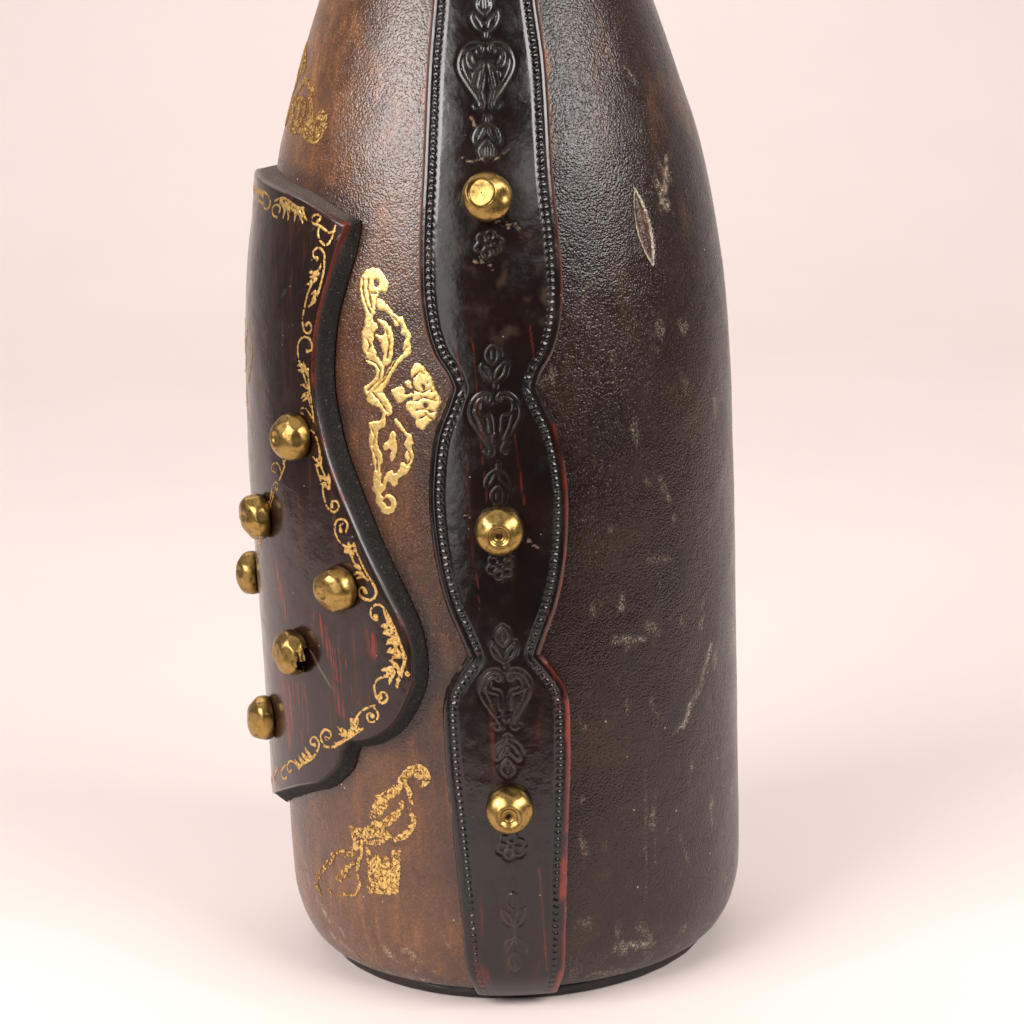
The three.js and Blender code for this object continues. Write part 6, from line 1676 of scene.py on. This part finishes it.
build("stopper_knob_turned", [(0, (v, [q, t]))], [WOOD], "stopper", "stopper_knob")

kz = curve([(15.2, 302.45), (16.1, 302.4), (16.75, 302.9), (17.0, 304.2), (17.15, 307.0), (17.1, 310.0), (16.7, 313.2), (15.6, 316.8), (13.4, 320.2), (10.2, 322.7), (6.6, 323.95), (3.0, 324.4), (0.5, 324.45)], 0.245)
kt = np.linspace(0, 2 * np.pi, 320, endpoint=False)
run = np.concatenate([[0], np.cumsum(np.hypot(*np.diff(kz, axis=0).T))])
tan_k = np.gradient(kz, axis=0)
tan_k /= np.hypot(*tan_k.T)[:, None]
nk = np.stack([tan_k[:, 1], -tan_k[:, 0]], -1)
U, T = np.meshgrid(run, kt, indexing="ij")
R0 = kz[:, :1] + 0 * U
cut = 0
for u0 in (4.1,):
    a = ((T / (2 * np.pi) * 78) % 1 - 0.5) * 2 * np.pi * 17 / 78
    cut = cut + 0.26 * np.exp(-(((np.hypot(U - u0, a) - 0.42) / 0.17) ** 2))
petal = np.abs(((T / (2 * np.pi) * 8) % 1) - 0.5) * 2
arch = 9.5 + 8.5 * np.sqrt(np.clip(1 - petal**2, 0, 1))
cut = cut + 0.24 * smooth(0.4, 0.0, np.abs(U - arch)) + 0.2 * smooth(0.35, 0, np.abs(U - 7.0))
pk = np.stack([R0 * np.cos(T), R0 * np.sin(T), kz[:, 1:] + 0 * U], -1)
hk = -0.12 + 0.08 * fbm(pk, 6, 561) - cut - 0.16 * smooth(0.6, 0, np.abs(petal - 1)) * smooth(10, 14, U) * smooth(26, 20, U)
ro = R0 + nk[:, :1] * hk
zo = kz[:, 1:] + nk[:, 1:] * hk
oc = np.stack([ro * np.cos(T), ro * np.sin(T), zo], -1)
ri = np.maximum(R0 - nk[:, :1] * 2.0, 0.2)
zi = np.maximum(kz[:, 1:] - nk[:, 1:] * 2.0, 302.42) + 0 * U
ic = np.stack([ri * np.cos(T), ri * np.sin(T), zi], -1)
v, f = shell(oc, ic, wrap=True)
redk = 0.6 * smooth(2.6, 0.6, U) * smooth(0, 0.5, fbm(pk, 2.5, 565))
# painted shade in the grooves of the cap
build("stopper_cap_tooled", [(0, (v, [f]))], [STRAP], "stopper", "stopper_cap", {"red": redk.ravel(), "cavity_shade": np.clip(cut * 2.6, 0, 1).ravel()}, 60)
stud("stopper_stud_dome", "stopper_stud", (0, 0, 324.55), (0, 0, 1), (0, 1, 0), 441, body="stopper", crown=1.9)

# ------------------------------------------------------------------ floor, light, camera

k = Mat("studio_paper")
k.bump(k.noise(60, 3, 0.5), 0.05, 1.0)
k.set(Base_Color=k.ramp(k.noise(200, 2), (0.3, srgb(227, 214, 210)), (0.7, srgb(230, 217, 213))), Roughness=0.8)
k.b.inputs["Specular IOR Level"].default_value = 0.15


def sheet_of(name, pts):
    """A smooth sheet of backdrop through a grid of points, in metres."""
    n, m = pts.shape[:2]
    me = bpy.data.meshes.new(name)
    me.from_pydata([tuple(x) for x in pts.reshape(-1, 3)], [], [tuple(int(x) for x in q) for q in quads(np.arange(n * m).reshape(n, m))])
    me.polygons.foreach_set("use_smooth", np.ones(len(me.polygons), bool))
    me.materials.append(k.m)
    ob = bpy.data.objects.new(name, me)
    bpy.context.scene.collection.objects.link(ob)
    return ob


arc_t = np.radians(np.linspace(0, 90, 30))
px = np.concatenate([np.linspace(0.19, -0.90, 40), -0.95 - 0.75 * np.sin(arc_t), [-1.70, -1.70]])
pz = np.concatenate([np.zeros(40), 0.75 * (1 - np.cos(arc_t)), [1.2, 1.8]])
PX, PY = np.meshgrid(px, np.linspace(-1, 1, 31))
PY = PY * np.where(PY < 0, np.interp(-PX, [-0.19, 0.2, 0.6, 1.1], [0.34, 0.50, 0.85, 1.5]), np.interp(-PX, [-0.19, 0.2, 0.6], [0.34, 0.50, 0.72]))
sheet_of("studio_floor", np.stack([PX, PY, pz + 0 * PX], -1))

scene = bpy.context.scene
world = bpy.data.worlds.new("studio")
scene.world = world
world.use_nodes = True
wt = world.node_tree
bg = wt.nodes["Background"]
where = wt.nodes.new("ShaderNodeTexCoord")
parts_of = wt.nodes.new("ShaderNodeSeparateXYZ")
wt.links.new(where.outputs["Generated"], parts_of.inputs[0])
half = wt.nodes.new("ShaderNodeMapRange")
half.inputs[1].default_value, half.inputs[2].default_value = -1.0, 1.0
wt.links.new(parts_of.outputs[0], half.inputs[0])
away = wt.nodes.new("ShaderNodeValToRGB")  # light behind the object, dim on the camera's side of the room
for n, (at, v) in enumerate(((0.0, 0.90), (0.16, 0.50), (0.30, 0.22), (0.60, 0.16), (0.84, 0.05))):
    e = away.color_ramp.elements[n] if n < 2 else away.color_ramp.elements.new(at)
    e.position, e.color = at, (v, v, v, 1)
wt.links.new(half.outputs[0], away.inputs[0])
wt.links.new(away.outputs[0], bg.inputs[1])
bg.inputs[0].default_value = (1.0, 0.92, 0.885, 1)


def softbox(name, at, aim, w, h, power, colour=(1, 0.96, 0.93)):
    data = bpy.data.lights.new(name, "AREA")
    data.shape = "RECTANGLE"
    data.size, data.size_y, data.energy, data.color = w, h, power, colour
    ob = bpy.data.objects.new(name, data)
    at, aim = np.array(at, float), np.array(aim, float)
    z = (at - aim) / np.linalg.norm(at - aim)
    x = np.cross((0, 0, 1), z)
    x = x / np.linalg.norm(x) if np.linalg.norm(x) > 1e-6 else np.array([1.0, 0, 0])
    y = np.cross(z, x)
    ob.matrix_world = Matrix(((x[0], y[0], z[0], at[0]), (x[1], y[1], z[1], at[1]), (x[2], y[2], z[2], at[2]), (0, 0, 0, 1)))
    scene.collection.objects.link(ob)
    return ob


softbox("softbox_left", (0.544, -0.648, 0.581), (0, 0, 0.15), 0.64, 0.46, 11.0)
softbox("softbox_right", (0.505, 0.670, 0.596), (0, 0, 0.15), 0.64, 0.38, 9.2)
softbox("softbox_top", (0.10, 0.0, 1.20), (0.0, 0, 0.0), 0.9, 0.9, 2.1)
softbox("backdrop_light", (-0.85, 0.0, 1.50), (-1.60, 0, 0.40), 2.4, 0.5, 21.5)
softbox("strip_left", (0.664, -0.324, 0.270), (0, 0, 0.14), 0.20, 0.72, 1.05)
softbox("strip_right", (0.660, 0.247, 0.397), (0, 0, 0.14), 0.17, 0.14, 0.17)

p, rho, psi = math.radians(11.6708), math.radians(-2.0650), math.radians(0.2156)
fwd = np.array([-math.cos(p) * math.cos(psi), math.cos(p) * math.sin(psi), -math.sin(p)])
right0 = np.array([math.sin(psi), math.cos(psi), 0.0])
down0 = -np.array([-math.sin(p) * math.cos(psi), math.sin(p) * math.sin(psi), math.cos(p)])
right = right0 * math.cos(rho) - down0 * math.sin(rho)
down = right0 * math.sin(rho) + down0 * math.cos(rho)
a = math.radians(1.1)
rz = np.array([[math.cos(a), -math.sin(a), 0], [math.sin(a), math.cos(a), 0], [0, 0, 1]])
X, Y, Z = rz @ right, rz @ -down, rz @ -fwd
pos = rz @ np.array([0.437, 0.0, 0.178])
cam = bpy.data.cameras.new("photo_camera")
cam.sensor_width = 36.0
cam.lens = 77.72
cam.clip_start, cam.clip_end = 0.01, 50
cam_ob = bpy.data.objects.new("photo_camera", cam)
cam_ob.matrix_world = Matrix(((X[0], Y[0], Z[0], pos[0]), (X[1], Y[1], Z[1], pos[1]), (X[2], Y[2], Z[2], pos[2]), (0, 0, 0, 1)))
scene.collection.objects.link(cam_ob)
scene.camera = cam_ob
scene.view_settings.view_transform = "Standard"
scene.view_settings.look = "None"
scene.view_settings.exposure = 0.0

bpy.context.view_layer.update()
